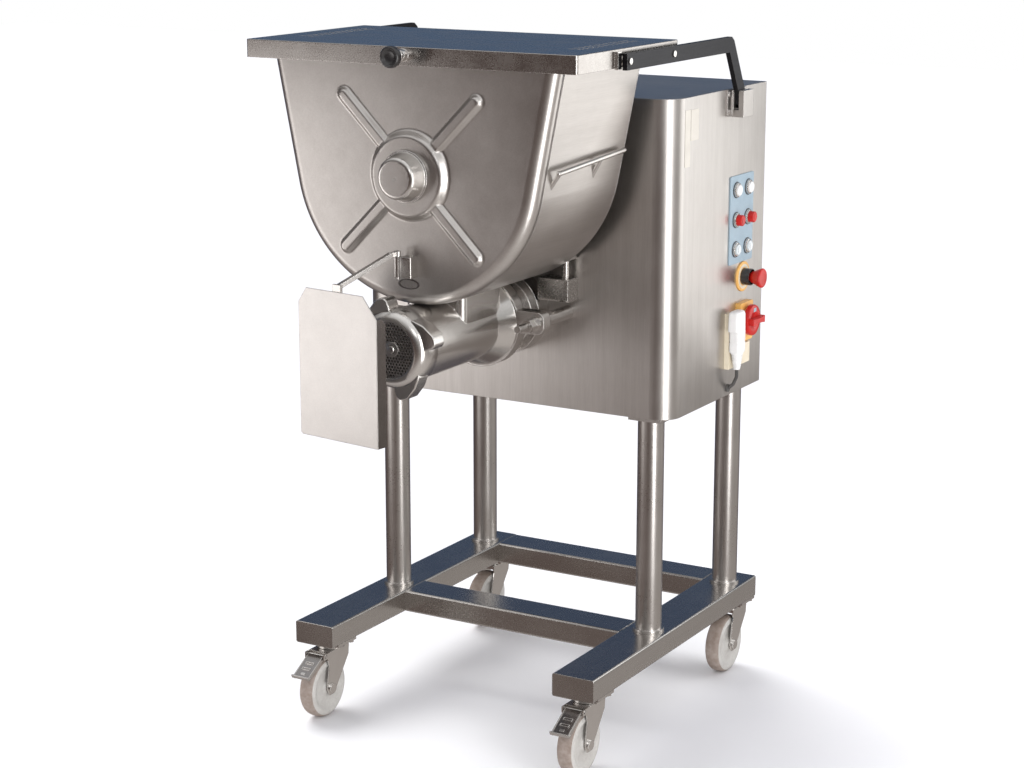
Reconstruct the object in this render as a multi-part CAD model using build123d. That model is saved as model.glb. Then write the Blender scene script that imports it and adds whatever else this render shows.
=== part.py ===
"""Meat mixer grinder on a wheeled stand.

Millimetres, +Z up, floor at Z = 0.  The machine's front faces -Y and its controls are on the +X side.
Every shape is designed about the machine's own symmetry plane (x = 0, y = 0 near the cabinet's front
wall) and moved to the centre of the footprint when it is written out.
"""
import os
from math import cos, hypot, radians, sin, sqrt

from build123d import *

os.makedirs("parts", exist_ok=True)

# footprint centre in machine coordinates
ORIGIN_X = 10.0
ORIGIN_Y = -41.287

# stand
RAIL_X = 300.0
RAIL_W = 90.0
RAIL_Z0 = 158.0
RAIL_H = 46.0
RAIL_Y0 = -291.0
RAIL_Y1 = 450.0
CROSS_W = 80.0
CROSS_FRONT_Y = 20.0
CROSS_REAR_Y = 410.0
TUBE_WALL = 3.0
POST_D = 53.0
POST_WALL = 2.5
POST_YS = (25.0, 385.0)
RAIL_TOP = RAIL_Z0 + RAIL_H

# casters
WHEEL_D = 125.0
WHEEL_W = 36.0
SWIVEL_YS = (-234.0, 420.0)
TRAIL = 32.0
AXLE_R = 6.0
RUN_GAP = 0.05

# cabinet
CAB_X = 356.0
CAB_Y0 = -8.0
CAB_Y1 = 415.0
CAB_Z0 = 648.0
CAB_Z1 = 1275.0
CAB_R = 45.0
SHEET = 2.0

# hopper
HOP_R = 266.0
HOP_CZ = 1174.0
HOP_SLOPE = 0.2
HOP_TOP = 1385.6
HOP_Y_FRONT = -378.0
HOP_Y_RIM = -345.0
HOP_Y_BACK = -55.0
HOP_WALL = 3.0
HOP_EDGE_R = 23.0
PADDLE_Z = 1152.0
PADDLE_R = 205.0
SHAFT_R = 15.0

# grinding head
HEAD_Z = 838.0
BARREL_R = 70.0
BORE_R = 62.0
BARREL_Y0 = -440.0
FLANGE_Y0 = -140.0
FLANGE_Y1 = -112.0
THROAT_X = 65.0
THROAT_Y0 = -300.0
THROAT_Y1 = -155.0
RING_R = 76.0
RING_Y0 = -458.0
RING_Y1 = -404.0
OUTLET_R = 53.0
LUG_R = 97.0
STUD_X = 128.0
STUD_Z = 845.0

# lid
LID_X = 356.0
LID_Y0 = -393.0
LID_Y1 = 4.0
LID_Z0 = 1354.0
LID_Z1 = 1388.0
HINGE_Y = 266.0
HINGE_Z = 1250.0
ARM_X0 = 363.0
ARM_X1 = 373.0
HINGE_PIN_R = 5.0
# the open arm passes this far clear of the hinge plate's screw heads
ARM_RUN_GAP = 1.0

# guard
GUARD_PIN = (-17.0, -398.0)
GUARD_L = (-166.0, -506.1)
GUARD_TURN = -8.44
GUARD_W = 194.0
GUARD_Z0 = 670.0
GUARD_Z1 = 951.0
GUARD_T = 2.0
GUARD_SKIRT = 25.0

# controls on the right wall
PANEL_Y = 302.0
PANEL_Z = 1008.0
PANEL_W = 110.0
PANEL_H = 180.0
PANEL_T = 2.5
BUTTON_YS = (275.0, 331.0)
BUTTON_ZS = (1069.0, 1008.0, 948.0)
BUTTON_R = 11.3
ESTOP_Y = 317.0
ESTOP_Z = 886.0
SWITCH_Y = 318.0
SWITCH_Z = 797.0


def save(name, shape):
    """Write one piece, or a group of separate solids, in the shared frame."""
    shift = Pos(-ORIGIN_X, -ORIGIN_Y, 0)
    solids = [shift * solid for solid in shape.solids()]
    piece = solids[0] if len(solids) == 1 else Compound(solids)
    piece.label = name
    export_step(piece, f"parts/{name}.step")


def group(pieces):
    """Keep solids apart inside one node."""
    return ShapeList(solid for piece in pieces for solid in piece.solids())


def box(x0, x1, y0, y1, z0, z1):
    """Box between two corners."""
    centre = Pos((x0 + x1) / 2, (y0 + y1) / 2, (z0 + z1) / 2)
    return centre * Box(x1 - x0, y1 - y0, z1 - z0)


def cyl_x(r, x0, x1, y, z):
    """Cylinder along X."""
    return Pos((x0 + x1) / 2, y, z) * Rot(0, 90, 0) * Cylinder(r, abs(x1 - x0))


def cyl_y(r, y0, y1, x, z):
    """Cylinder along Y."""
    return Pos(x, (y0 + y1) / 2, z) * Rot(90, 0, 0) * Cylinder(r, abs(y1 - y0))


def cyl_z(r, z0, z1, x, y):
    """Cylinder along Z."""
    return Pos(x, y, (z0 + z1) / 2) * Cylinder(r, abs(z1 - z0))


def cone_y(r0, r1, y0, y1, x, z):
    """Cone along Y with radius r0 at y0 and r1 at y1 (y0 < y1)."""
    return Pos(x, (y0 + y1) / 2, z) * Rot(-90, 0, 0) * Cone(r0, r1, y1 - y0)


def bar(p, q, w, t):
    """Rectangular bar from point p to point q."""
    a = Vector(*p)
    d = Vector(*q) - a
    return Plane(origin=a, z_dir=d) * extrude(Rectangle(w, t), d.length)


def rod(p, q, r):
    """Round rod from point p to point q."""
    a = Vector(*p)
    d = Vector(*q) - a
    return Plane(origin=a, z_dir=d) * extrude(Circle(r), d.length)


def prism_x(points, x0, x1):
    """Prism along X with an outline given as (y, z) points."""
    face = make_face(Plane.YZ * Polyline(*points, close=True))
    return Pos(x0, 0, 0) * extrude(face, x1 - x0, dir=(1, 0, 0))


def prism_y(points, y0, y1):
    """Prism along Y with an outline given as (x, z) points."""
    face = make_face(Plane.XZ * Polyline(*points, close=True))
    return Pos(0, y0, 0) * extrude(face, y1 - y0, dir=(0, 1, 0))


def mirrored(shape):
    """The same piece on the machine's other side."""
    return mirror(shape, about=Plane.YZ)


# ---------------------------------------------------------------- stand
def tube_along_y(x, y0, y1, w):
    """Closed rectangular tube running front to back."""
    outer = box(x - w / 2, x + w / 2, y0, y1, RAIL_Z0, RAIL_TOP)
    outer = fillet(outer.edges().filter_by(Axis.Y), 4)
    t = TUBE_WALL
    return outer - box(x - w / 2 + t, x + w / 2 - t, y0 + t, y1 - t, RAIL_Z0 + t, RAIL_TOP - t)


def tube_along_x(y, half, w):
    """Closed rectangular tube running side to side."""
    outer = box(-half, half, y - w / 2, y + w / 2, RAIL_Z0, RAIL_TOP)
    outer = fillet(outer.edges().filter_by(Axis.X), 4)
    t = TUBE_WALL
    return outer - box(-half + t, half - t, y - w / 2 + t, y + w / 2 - t, RAIL_Z0 + t, RAIL_TOP - t)


inner_x = RAIL_X - RAIL_W / 2
rails = [tube_along_y(s * RAIL_X, RAIL_Y0, RAIL_Y1, RAIL_W) for s in (-1, 1)]
save("base_side_rails", group(rails))
crosses = [tube_along_x(y, inner_x, CROSS_W) for y in (CROSS_FRONT_Y, CROSS_REAR_Y)]
save("base_cross_rails", group(crosses))

posts = []
for sx in (-1, 1):
    for y in POST_YS:
        x = sx * RAIL_X
        post = cyl_z(POST_D / 2, RAIL_TOP, CAB_Z0, x, y)
        post += cyl_z(POST_D / 2 + 5, RAIL_TOP, RAIL_TOP + 5, x, y)
        post += box(x - 36, x + 36, y - 30, y + 30, CAB_Z0 - 6, CAB_Z0)
        post -= cyl_z(POST_D / 2 - POST_WALL, RAIL_TOP + 3, CAB_Z0 - 6, x, y)
        posts.append(post)
save("support_posts", group(posts))

# ---------------------------------------------------------------- casters
PLATE_T = 6.0
HEAD_BOT = 141.0
CROWN_Z1 = 140.5
CROWN_Z0 = 133.0
AXLE_Z = WHEEL_D / 2
FORK_IN = WHEEL_W / 2 + 2.5
FORK_OUT = FORK_IN + 3.0
PEDAL_DY = -51.0
PEDAL_Z = 135.0

plates = []
plate_bolts = []
for sx in (-1, 1):
    for sy in SWIVEL_YS:
        x = sx * RAIL_X
        plate = box(x - 42, x + 42, sy - 32, sy + 32, RAIL_Z0 - PLATE_T, RAIL_Z0)
        plate += cyl_z(29, HEAD_BOT, RAIL_Z0 - PLATE_T, x, sy)
        plate -= cyl_z(8.0 + RUN_GAP, HEAD_BOT, RAIL_Z0 - 1.5, x, sy)
        plates.append(plate)
        for bx in (-34, 34):
            for by in (-24, 24):
                head = Pos(x + bx, sy + by, RAIL_Z0 - PLATE_T - 2.5)
                plate_bolts.append(head * extrude(RegularPolygon(6.5, 6), 5, both=False))
plate_bolts = [Pos(0, 0, -2.5) * b for b in plate_bolts]
save("caster_top_plates", group(plates))
save("caster_plate_bolts", group(plate_bolts))


def fork(x, sy, braked):
    """Swivel fork with its king pin and its wheel axle."""
    wy = sy - TRAIL
    front = sy - (44.0 if braked else 36.0)
    body = box(x - FORK_OUT, x + FORK_OUT, front, sy + 32, CROWN_Z0, CROWN_Z1)
    for side in (-1, 1):
        x0 = x + (FORK_IN if side > 0 else -FORK_OUT)
        cheek = prism_x(
            (
                (sy + 32, CROWN_Z1 - 3),
                (sy + 30, 118),
                (wy + 15, AXLE_Z - 6),
                (wy + 8, AXLE_Z - 14),
                (wy - 8, AXLE_Z - 14),
                (wy - 14, AXLE_Z + 2),
                (wy - 6, 110),
                (front + 2, 124),
                (front, CROWN_Z1 - 3),
            ),
            x0,
            x0 + FORK_OUT - FORK_IN,
        )
        body += cheek
        if braked:
            ear = box(x0, x0 + 3, sy + PEDAL_DY - 7, front + 4, PEDAL_Z - 7, CROWN_Z1)
            body += ear - cyl_x(3.0 + RUN_GAP, x0 - 1, x0 + 4, sy + PEDAL_DY, PEDAL_Z)
        body += cyl_x(10, x + side * FORK_OUT, x + side * (FORK_OUT + 5), wy, AXLE_Z)
    body += cyl_z(26, CROWN_Z1 - 1, HEAD_BOT - 0.25, x, sy)
    body += cyl_z(8.0, CROWN_Z0, RAIL_Z0 - 2.5, x, sy)
    body += cyl_x(AXLE_R, x - FORK_OUT, x + FORK_OUT, wy, AXLE_Z)
    return body


def wheel(x, sy):
    """Nylon wheel with a rounded tread, a dished web and a plain bore."""
    wy = sy - TRAIL
    r = WHEEL_D / 2
    h = WHEEL_W / 2
    solid = Rot(0, 90, 0) * Cylinder(r, WHEEL_W)
    solid = fillet(solid.edges().filter_by(GeomType.CIRCLE), 9)
    for side in (-1, 1):
        dish = Cylinder(r - 16, 9) - Cylinder(19, 9)
        solid -= Pos(side * h, 0, 0) * Rot(0, 90, 0) * dish
    solid -= cyl_x(AXLE_R + RUN_GAP, -h - 2, h + 2, 0, 0)
    return Pos(x, wy, AXLE_Z) * solid


def pedal(x, sy):
    """Brake pedal: a sloping tread plate with side flanges, a lip and its pivot pin."""
    py = sy + PEDAL_DY
    out = cyl_x(3.0, x - FORK_OUT, x + FORK_OUT, py, PEDAL_Z)
    plane = Pos(x, py, PEDAL_Z + 1.5) * Rot(30, 0, 0)
    tread = box(-19, 19, -68, 2, 0, 3)
    tread += box(-19, -16, -64, 2, -6, 1)
    tread += box(16, 19, -64, 2, -6, 1)
    tread += box(-19, 19, -68, -65, 0, 8)
    tread = tread - box(-9, 9, -30, -25, -1, 4) - box(-9, 9, -44, -39, -1, 4)
    out += plane * tread
    return out


corners = (("fl", -1, 0), ("fr", 1, 0), ("rl", -1, 1), ("rr", 1, 1))
for tag, sx, iy in corners:
    x = sx * RAIL_X
    sy = SWIVEL_YS[iy]
    save(f"caster_{tag}_fork", fork(x, sy, iy == 0))
    save(f"caster_{tag}_wheel", wheel(x, sy))
    if iy == 0:
        save(f"caster_{tag}_brake", pedal(x, sy))

# ---------------------------------------------------------------- cabinet
outer = box(-CAB_X, CAB_X, CAB_Y0, CAB_Y1, CAB_Z0, CAB_Z1)
front_edges = outer.edges().filter_by(Axis.Z).sort_by(Axis.Y)[:2]
outer = fillet(front_edges, CAB_R)
outer = chamfer(outer.faces().sort_by(Axis.Z)[-1].edges().filter_by(GeomType.LINE).sort_by(Axis.Y)[:1], 0.8)
inner = box(-CAB_X + SHEET, CAB_X - SHEET, CAB_Y0 + SHEET, CAB_Y1 + 1, CAB_Z0 - 1, CAB_Z1 - SHEET)
inner = fillet(inner.edges().filter_by(Axis.Z).sort_by(Axis.Y)[:2], CAB_R - SHEET)
shell = outer - inner
shell -= cyl_y(40, CAB_Y0 - 1, CAB_Y0 + 4, 0, HEAD_Z)
shell -= cyl_y(30, CAB_Y0 - 1, CAB_Y0 + 4, 0, PADDLE_Z)
save("cabinet_shell", shell)

in_x = CAB_X - SHEET
floor = box(-in_x, in_x, CAB_Y0 + SHEET, CAB_Y1 - 4, CAB_Z0, CAB_Z0 + 4)
floor = fillet(floor.edges().filter_by(Axis.Z).sort_by(Axis.Y)[:2], CAB_R - SHEET)
save("cabinet_floor", floor)

cover = box(-in_x + 1, in_x - 1, CAB_Y1 - 4, CAB_Y1 - 2, CAB_Z0 + 1, CAB_Z1 - SHEET - 1)
for i in range(9):
    z = CAB_Z0 + 90 + i * 16
    cover -= box(-110, 110, CAB_Y1 - 5, CAB_Y1, z, z + 6)
save("cabinet_rear_cover", cover)

screws = []
for x in (-330, 330):
    for z in (CAB_Z0 + 25, CAB_Z0 + 220, CAB_Z0 + 410, CAB_Z1 - 30):
        screws.append(cyl_y(6, CAB_Y1 - 2, CAB_Y1, x, z))
save("rear_cover_screws", group(screws))

labels = [box(CAB_X, CAB_X + 0.6, 39, 62, 1141, 1251)]
labels.append(box(CAB_X, CAB_X + 0.6, 64, 98, 1190, 1250))

# ---------------------------------------------------------------- drives inside the cabinet
GEAR_Y0 = CAB_Y0 + SHEET
gear = box(-105, 105, GEAR_Y0, 180, HEAD_Z - 100, HEAD_Z + 100)
gear = fillet(gear.edges().filter_by(Axis.Y), 20)
gear -= box(-95, 95, GEAR_Y0 + 12, 170, HEAD_Z - 90, HEAD_Z + 90)
gear += cyl_y(78, 180, 385, 0, HEAD_Z) - cyl_y(70, 172, 377, 0, HEAD_Z)
for i in range(9):
    y = 205 + i * 18
    gear += cyl_y(84, y, y + 4, 0, HEAD_Z) - cyl_y(76, y - 1, y + 5, 0, HEAD_Z)
gear += box(-70, 70, 20, 160, CAB_Z0 + 4, HEAD_Z - 98)
gear -= box(-60, 60, 19, 161, CAB_Z0 + 14, HEAD_Z - 108)
gear -= cyl_y(SHAFT_R + RUN_GAP, GEAR_Y0 - 1, GEAR_Y0 + 14, 0, HEAD_Z)
save("grinder_gearmotor", gear)

pg = box(-70, 70, GEAR_Y0, 125, PADDLE_Z - 70, PADDLE_Z + 70)
pg = fillet(pg.edges().filter_by(Axis.Y), 14)
pg -= box(-62, 62, GEAR_Y0 + 12, 117, PADDLE_Z - 62, PADDLE_Z + 62)
pg += cyl_y(58, 125, 300, 0, PADDLE_Z) - cyl_y(51, 118, 293, 0, PADDLE_Z)
pg -= cyl_y(SHAFT_R + RUN_GAP, GEAR_Y0 - 1, GEAR_Y0 + 14, 0, PADDLE_Z)
save("paddle_gearmotor", pg)


# ---------------------------------------------------------------- hopper
def hopper_face(inset):
    """U-shaped cross-section of the hopper in the XZ plane, moved in by inset."""
    n = sqrt(1 + HOP_SLOPE * HOP_SLOPE)
    r = HOP_R - inset
    tx = r / n
    tz = HOP_CZ - r * HOP_SLOPE / n
    top_x = tx + (HOP_TOP - tz) * HOP_SLOPE
    right = Line((tx, tz), (top_x, HOP_TOP))
    top = Line((top_x, HOP_TOP), (-top_x, HOP_TOP))
    left = Line((-top_x, HOP_TOP), (-tx, tz))
    low = ThreePointArc((-tx, tz), (0, HOP_CZ - r), (tx, tz))
    return make_face([right, top, left, low])


def hopper_block(inset, y0, y1):
    """Solid filling the hopper's section between two Y planes."""
    flat = Plane.XZ * hopper_face(inset)
    return Pos(0, y1, 0) * extrude(flat, y1 - y0)


def low_edges(shape, y):
    """Edges of a hopper block on one Y plane, without the straight top edge."""
    picked = []
    for edge in shape.edges():
        box_e = edge.bounding_box()
        on_plane = abs(box_e.min.Y - y) < 0.01 and abs(box_e.max.Y - y) < 0.01
        if on_plane and box_e.min.Z < HOP_TOP - 0.1:
            picked.append(edge)
    return picked


front = hopper_block(0, HOP_Y_FRONT, HOP_Y_RIM)
front = fillet(low_edges(front, HOP_Y_FRONT), HOP_EDGE_R)
hollow = hopper_block(HOP_WALL, HOP_Y_FRONT + HOP_WALL, HOP_Y_RIM + 1)
hollow = fillet(low_edges(hollow, HOP_Y_FRONT + HOP_WALL), HOP_EDGE_R - HOP_WALL)
hollow += Pos(0, 0, 3) * hollow
front -= hollow
RIB_H = 9.0
RIB_W = 23.0
RIB_LEN = 150.0 * sqrt(2)


def rib_pair(grow, y0, y1):
    """Two crossing bars at 45 degrees with round ends, centred on the paddle shaft."""
    pads = []
    for turn in (45, 135):
        slot = SlotOverall(2 * RIB_LEN + grow, RIB_W + grow)
        pad = extrude(Plane.XZ * (Rot(0, 0, turn) * slot), y1 - y0)
        pads.append(Pos(0, y1, PADDLE_Z) * pad)
    return pads[0] + pads[1]


emboss = rib_pair(0, HOP_Y_FRONT - RIB_H, HOP_Y_FRONT + 1)
top_edges = emboss.edges().filter_by_position(Axis.Y, HOP_Y_FRONT - RIB_H - 0.1, HOP_Y_FRONT - RIB_H + 0.1)
emboss = fillet(top_edges, 6)
ring = cyl_y(80, HOP_Y_FRONT - 15, HOP_Y_FRONT + 1, 0, PADDLE_Z)
ring = fillet(ring.edges().filter_by(GeomType.CIRCLE).sort_by(Axis.Y)[:1], 9)
front = front + emboss + ring
front -= rib_pair(-8, HOP_Y_FRONT - RIB_H + 4, HOP_Y_FRONT + 6)
front -= cyl_y(74, HOP_Y_FRONT - 11, HOP_Y_FRONT + 6, 0, PADDLE_Z)
front -= cyl_y(SHAFT_R + 1, HOP_Y_FRONT - 20, HOP_Y_FRONT + 10, 0, PADDLE_Z)
save("hopper_front_panel", front)

OUT_X = THROAT_X - 10
OUT_Y0 = THROAT_Y0 + 10
OUT_Y1 = THROAT_Y1 - 10
trough = hopper_block(0, HOP_Y_RIM, HOP_Y_BACK)
well = hopper_block(HOP_WALL, HOP_Y_RIM - 1, HOP_Y_BACK + 1)
trough -= well + Pos(0, 0, 3) * well
n = sqrt(1 + HOP_SLOPE * HOP_SLOPE)
rim_x = HOP_R / n + (HOP_TOP - HOP_CZ + HOP_R * HOP_SLOPE / n) * HOP_SLOPE
for s in (-1, 1):
    x0, x1 = sorted((s * (rim_x - 1.6), s * (rim_x + 12)))
    trough += box(x0, x1, HOP_Y_RIM, HOP_Y_BACK, HOP_TOP - 3, HOP_TOP)
trough -= box(-OUT_X, OUT_X, OUT_Y0, OUT_Y1, 850, 960)
save("hopper_trough", trough)

hopper_solid = hopper_block(0, HOP_Y_FRONT, HOP_Y_BACK)
rear = hopper_block(0, HOP_Y_BACK, HOP_Y_BACK + HOP_WALL)
rear += cyl_y(75, HOP_Y_BACK + HOP_WALL - 1, CAB_Y0, 0, PADDLE_Z)
for s in (-1, 1):
    tab = box(s * 135 - 16, s * 135 + 16, HOP_Y_BACK + 2, -14, 955, 961)
    rear += tab
rear -= cyl_y(SHAFT_R + RUN_GAP, HOP_Y_BACK - 1, CAB_Y0 + 1, 0, PADDLE_Z)
save("hopper_rear_panel", rear)

CAP_Y0 = HOP_Y_FRONT - 53
cap = cyl_y(49, HOP_Y_FRONT - 20, HOP_Y_FRONT - 15, 0, PADDLE_Z)
cap += cone_y(38, 46, CAP_Y0, HOP_Y_FRONT - 19, 0, PADDLE_Z)
cap = fillet(cap.edges().filter_by(GeomType.CIRCLE).sort_by(Axis.Y)[:1], 8)
cap -= cyl_y(3, CAP_Y0 - 1, CAP_Y0 + 4, 0, PADDLE_Z)
cap -= cyl_y(SHAFT_R + RUN_GAP, CAP_Y0 + 20, HOP_Y_FRONT, 0, PADDLE_Z)
save("paddle_bearing_cap", cap)

badge = extrude(Plane.XZ * Ellipse(24, 10), 1.2)
badge = Pos(-5, HOP_Y_FRONT, 949) * badge
save("blank_labels", group(labels + [badge]))

grab = rod((284, -326, 1169), (284, -74, 1184), 5)
grab += Pos(284, -326, 1169) * Sphere(5)
for y in (-322, -165):
    z = 1169 + (y + 326) * 15 / 252
    grab += rod((284, y, z), (255, y + 6, 1132), 4)
grab -= hopper_solid
save("side_grab_bar", grab.solids().sort_by(SortBy.VOLUME)[-1])

blocks = []
for s in (-1, 1):
    x0, x1 = sorted((s * 84, s * 151))
    block = box(x0, x1, -50, CAB_Y0, 872, 917)
    block = chamfer(block.edges().filter_by(Axis.X).sort_by(Axis.Y)[:1], 4)
    blocks.append(block + cyl_z(7, 916, 955, s * 135, -30))
save("hopper_support_blocks", group(blocks))

# mixing paddle: shaft, two hubs with arms, two slanting blades
paddle = cyl_y(SHAFT_R, CAP_Y0 + 22, GEAR_Y0 + 60, 0, PADDLE_Z)
PAD_Y0 = -335.0
PAD_Y1 = -95.0


def polar(r, deg, y):
    """Point at a radius and an angle about the paddle shaft."""
    return (r * cos(radians(deg)), y, PADDLE_Z + r * sin(radians(deg)))


for y, phase in ((PAD_Y0, 30), (PAD_Y1, 80)):
    paddle += cyl_y(28, y - 18, y + 18, 0, PADDLE_Z)
    for half_turn in (0, 180):
        paddle += rod(polar(10, phase + half_turn, y), polar(PADDLE_R, phase + half_turn, y), 10)
for half_turn in (0, 180):
    a = polar(PADDLE_R - 6, 30 + half_turn, PAD_Y0 - 8)
    b = polar(PADDLE_R - 6, 80 + half_turn, PAD_Y1 + 8)
    paddle += bar(a, b, 34, 8)
save("mixing_paddle", paddle)

# ---------------------------------------------------------------- grinding head
head = cyl_y(BARREL_R, BARREL_Y0, FLANGE_Y1, 0, HEAD_Z)
head += cone_y(BARREL_R, 88, -178, FLANGE_Y0, 0, HEAD_Z)
head += cyl_y(92, FLANGE_Y0, FLANGE_Y1, 0, HEAD_Z)
ears = box(-STUD_X - 20, STUD_X + 20, FLANGE_Y0, FLANGE_Y1, STUD_Z - 22, STUD_Z + 22)
head += fillet(ears.edges().filter_by(Axis.Y), 16)
throat = box(-THROAT_X, THROAT_X, THROAT_Y0, THROAT_Y1, HEAD_Z, 925)
throat = fillet(throat.edges().filter_by(Axis.Z), 14)
saddle = prism_x(
    (
        (THROAT_Y0 + 8, HEAD_Z),
        (THROAT_Y0 + 8, 900),
        (THROAT_Y0 - 20, HEAD_Z + 42),
        (THROAT_Y0 - 55, HEAD_Z + 30),
        (THROAT_Y0 - 55, HEAD_Z),
    ),
    -46,
    46,
)
head += throat + saddle
head -= hopper_solid
head -= cyl_y(BORE_R, BARREL_Y0 - 1, FLANGE_Y1 + 1, 0, HEAD_Z)
mouth = box(-OUT_X, OUT_X, OUT_Y0, OUT_Y1, HEAD_Z, 930)
head -= fillet(mouth.edges().filter_by(Axis.Z), 8)
for s in (-1, 1):
    head -= cyl_y(7.6, FLANGE_Y0 - 1, FLANGE_Y1 + 1, s * STUD_X, STUD_Z)
save("grinder_head", head)

neck = cyl_y(85, HOP_Y_BACK + 8, CAB_Y0, 0, HEAD_Z)
neck += cyl_y(68, FLANGE_Y1, HOP_Y_BACK + 9, 0, HEAD_Z)
neck -= cyl_y(SHAFT_R + 9, FLANGE_Y1 - 1, CAB_Y0 + 1, 0, HEAD_Z)
save("head_neck", neck)

studs = []
nuts = []
for s in (-1, 1):
    x = s * STUD_X
    stud = cyl_y(13.5, FLANGE_Y1, CAB_Y0, x, STUD_Z)
    studs.append(stud + cyl_y(7.2, -206, FLANGE_Y1, x, STUD_Z))
    nut = cyl_y(16, FLANGE_Y0 - 6, FLANGE_Y0, x, STUD_Z)
    nut += Pos(x, FLANGE_Y0 - 5, STUD_Z) * Rot(90, 0, 0) * extrude(RegularPolygon(14, 6), 26)
    nuts.append(nut - cyl_y(7.5, -210, FLANGE_Y0 + 1, x, STUD_Z))
save("clamp_studs", group(studs))
save("clamp_nuts", group(nuts))

HUB_R = 17.0
PLATE_Y0 = -446.0
hole_plate = cyl_y(BORE_R - 0.3, PLATE_Y0, PLATE_Y0 + 12, 0, HEAD_Z)
hole_plate += cyl_y(HUB_R, PLATE_Y0, PLATE_Y0 + 12, 0, HEAD_Z)
for radius, count in ((23, 14), (30, 20), (37, 24), (44, 30)):
    for i in range(count):
        a = radians(360 * i / count)
        hole_plate -= cyl_y(2.5, PLATE_Y0 - 1, PLATE_Y0 + 13, radius * cos(a), HEAD_Z + radius * sin(a))
hole_plate -= cyl_y(7 + RUN_GAP, PLATE_Y0 - 6, PLATE_Y0 + 14, 0, HEAD_Z)
save("hole_plate", hole_plate)

nut_ring = cyl_y(RING_R, RING_Y0, RING_Y1, 0, HEAD_Z)
nut_ring = fillet(nut_ring.edges().filter_by(GeomType.CIRCLE), 4)
for i in range(4):
    tip = 15 + 90 * i
    touch = tip + 38
    corners_at = (
        (RING_R - 1, touch),
        (LUG_R, tip + 5),
        (LUG_R, tip - 5),
        (RING_R - 3, tip - 10),
    )
    outline = [(r * cos(radians(a)), HEAD_Z + r * sin(radians(a))) for r, a in corners_at]
    nut_ring += prism_y(outline, RING_Y1 - 46, RING_Y1 - 8)
nut_ring -= cyl_y(OUTLET_R, RING_Y0 - 1, RING_Y1 + 1, 0, HEAD_Z)
nut_ring -= cyl_y(BARREL_R + 0.1, PLATE_Y0 - 0.3, RING_Y1 + 1, 0, HEAD_Z)
nut_ring = chamfer(
    nut_ring.edges().filter_by(GeomType.CIRCLE).filter_by_position(Axis.Y, RING_Y0 - 0.1, RING_Y0 + 0.1)
    .sort_by(SortBy.LENGTH)[:1], 2
)
save("ring_nut", nut_ring)

# feed screw with a helical flight
SCREW_R = 58.0
auger = cyl_y(22.0, -420, FLANGE_Y1 + 4, 0, HEAD_Z)
auger += cyl_y(SHAFT_R, FLANGE_Y1 + 2, GEAR_Y0 + 60, 0, HEAD_Z)
auger += cyl_y(7, PLATE_Y0 + 0.5, -419, 0, HEAD_Z)
PITCH = 75.0
LENGTH = 285.0
CORE_R = 22.0
mid_r = (CORE_R - 1.5 + SCREW_R) / 2
path = Helix(pitch=PITCH, height=LENGTH, radius=mid_r)
profile = Plane(origin=path @ 0, x_dir=(1, 0, 0), z_dir=path % 0) * Rectangle(2 * (SCREW_R - mid_r), 6)
flight = sweep(profile, path=path, is_frenet=True)
auger += Pos(0, -416, HEAD_Z) * Rot(-90, 0, 0) * flight
save("auger", auger)

knife = cyl_y(16, PLATE_Y0 + 13, PLATE_Y0 + 24, 0, HEAD_Z)
for i in range(4):
    blade = box(10, 47, PLATE_Y0 + 12.5, PLATE_Y0 + 20, -7, 7)
    knife += Pos(0, 0, HEAD_Z) * Rot(0, 90 * i, 0) * blade
knife -= cyl_y(7, PLATE_Y0 + 10, PLATE_Y0 + 30, 0, HEAD_Z)
save("auger_knife", knife)

# ---------------------------------------------------------------- lid
lid = box(-LID_X, LID_X, LID_Y0, LID_Y1, LID_Z0, LID_Z1)
lid = fillet(lid.edges().filter_by(Axis.Z), 6)
lid = fillet(lid.faces().sort_by(Axis.Z)[-1].edges(), 1.5)
lid -= box(-LID_X + 2, LID_X - 2, LID_Y0 + 2, LID_Y1 - 2, LID_Z0 - 1, LID_Z1 - 2)
for s in (-1, 1):
    for row in (284, 302):
        for i in range(12):
            y = -285 + i * 19
            lid -= box(s * row - 6, s * row + 6, y, y + 6, LID_Z1 - 3, LID_Z1 + 1)
save("lid_panel", lid)

KNOB_Z = 1373.0
knob = cyl_y(20, -446, -428, 0, KNOB_Z)
knob = fillet(knob.edges().filter_by(GeomType.CIRCLE), 4)
knob -= cone_y(14, 11, -446.5, -440, 0, KNOB_Z)
knob += cyl_y(7, -429, LID_Y0, 0, KNOB_Z)
knob += cyl_y(10, LID_Y0 - 6, LID_Y0, 0, KNOB_Z)
save("lid_knob", knob)

arm = prism_x(
    (
        (-236, 1350),
        (-236, 1380),
        (206, 1380),
        (217, 1372),
        (277, 1262),
        (253, 1248),
        (198, 1350),
    ),
    ARM_X0,
    ARM_X1,
)
arm += cyl_x(15, ARM_X0, ARM_X1, HINGE_Y, HINGE_Z)
arm -= cyl_x(HINGE_PIN_R + RUN_GAP, ARM_X0 - 1, ARM_X1 + 1, HINGE_Y, HINGE_Z)

arm_bolts = []
for y in (-225, -48):
    bolt = cyl_x(9, LID_X, ARM_X0, y, 1366)
    bolt += cyl_x(6, ARM_X1, ARM_X1 + 2.5, y, 1366)
    bolt += cyl_x(4, LID_X, ARM_X1 + 1, y, 1366)
    arm_bolts.append(bolt)
spacer = box(LID_X, ARM_X0, -253, -239, 1352, 1384)
arm_bolts.append(spacer)
arm_bored = arm
for y in (-225, -48):
    arm_bored -= cyl_x(4, ARM_X0 - 1, ARM_X1 + 1, y, 1366)
save("lid_arms", group([arm_bored, mirrored(arm_bored)]))
save("lid_arm_fixings", group(arm_bolts + [mirrored(b) for b in arm_bolts]))

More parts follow.
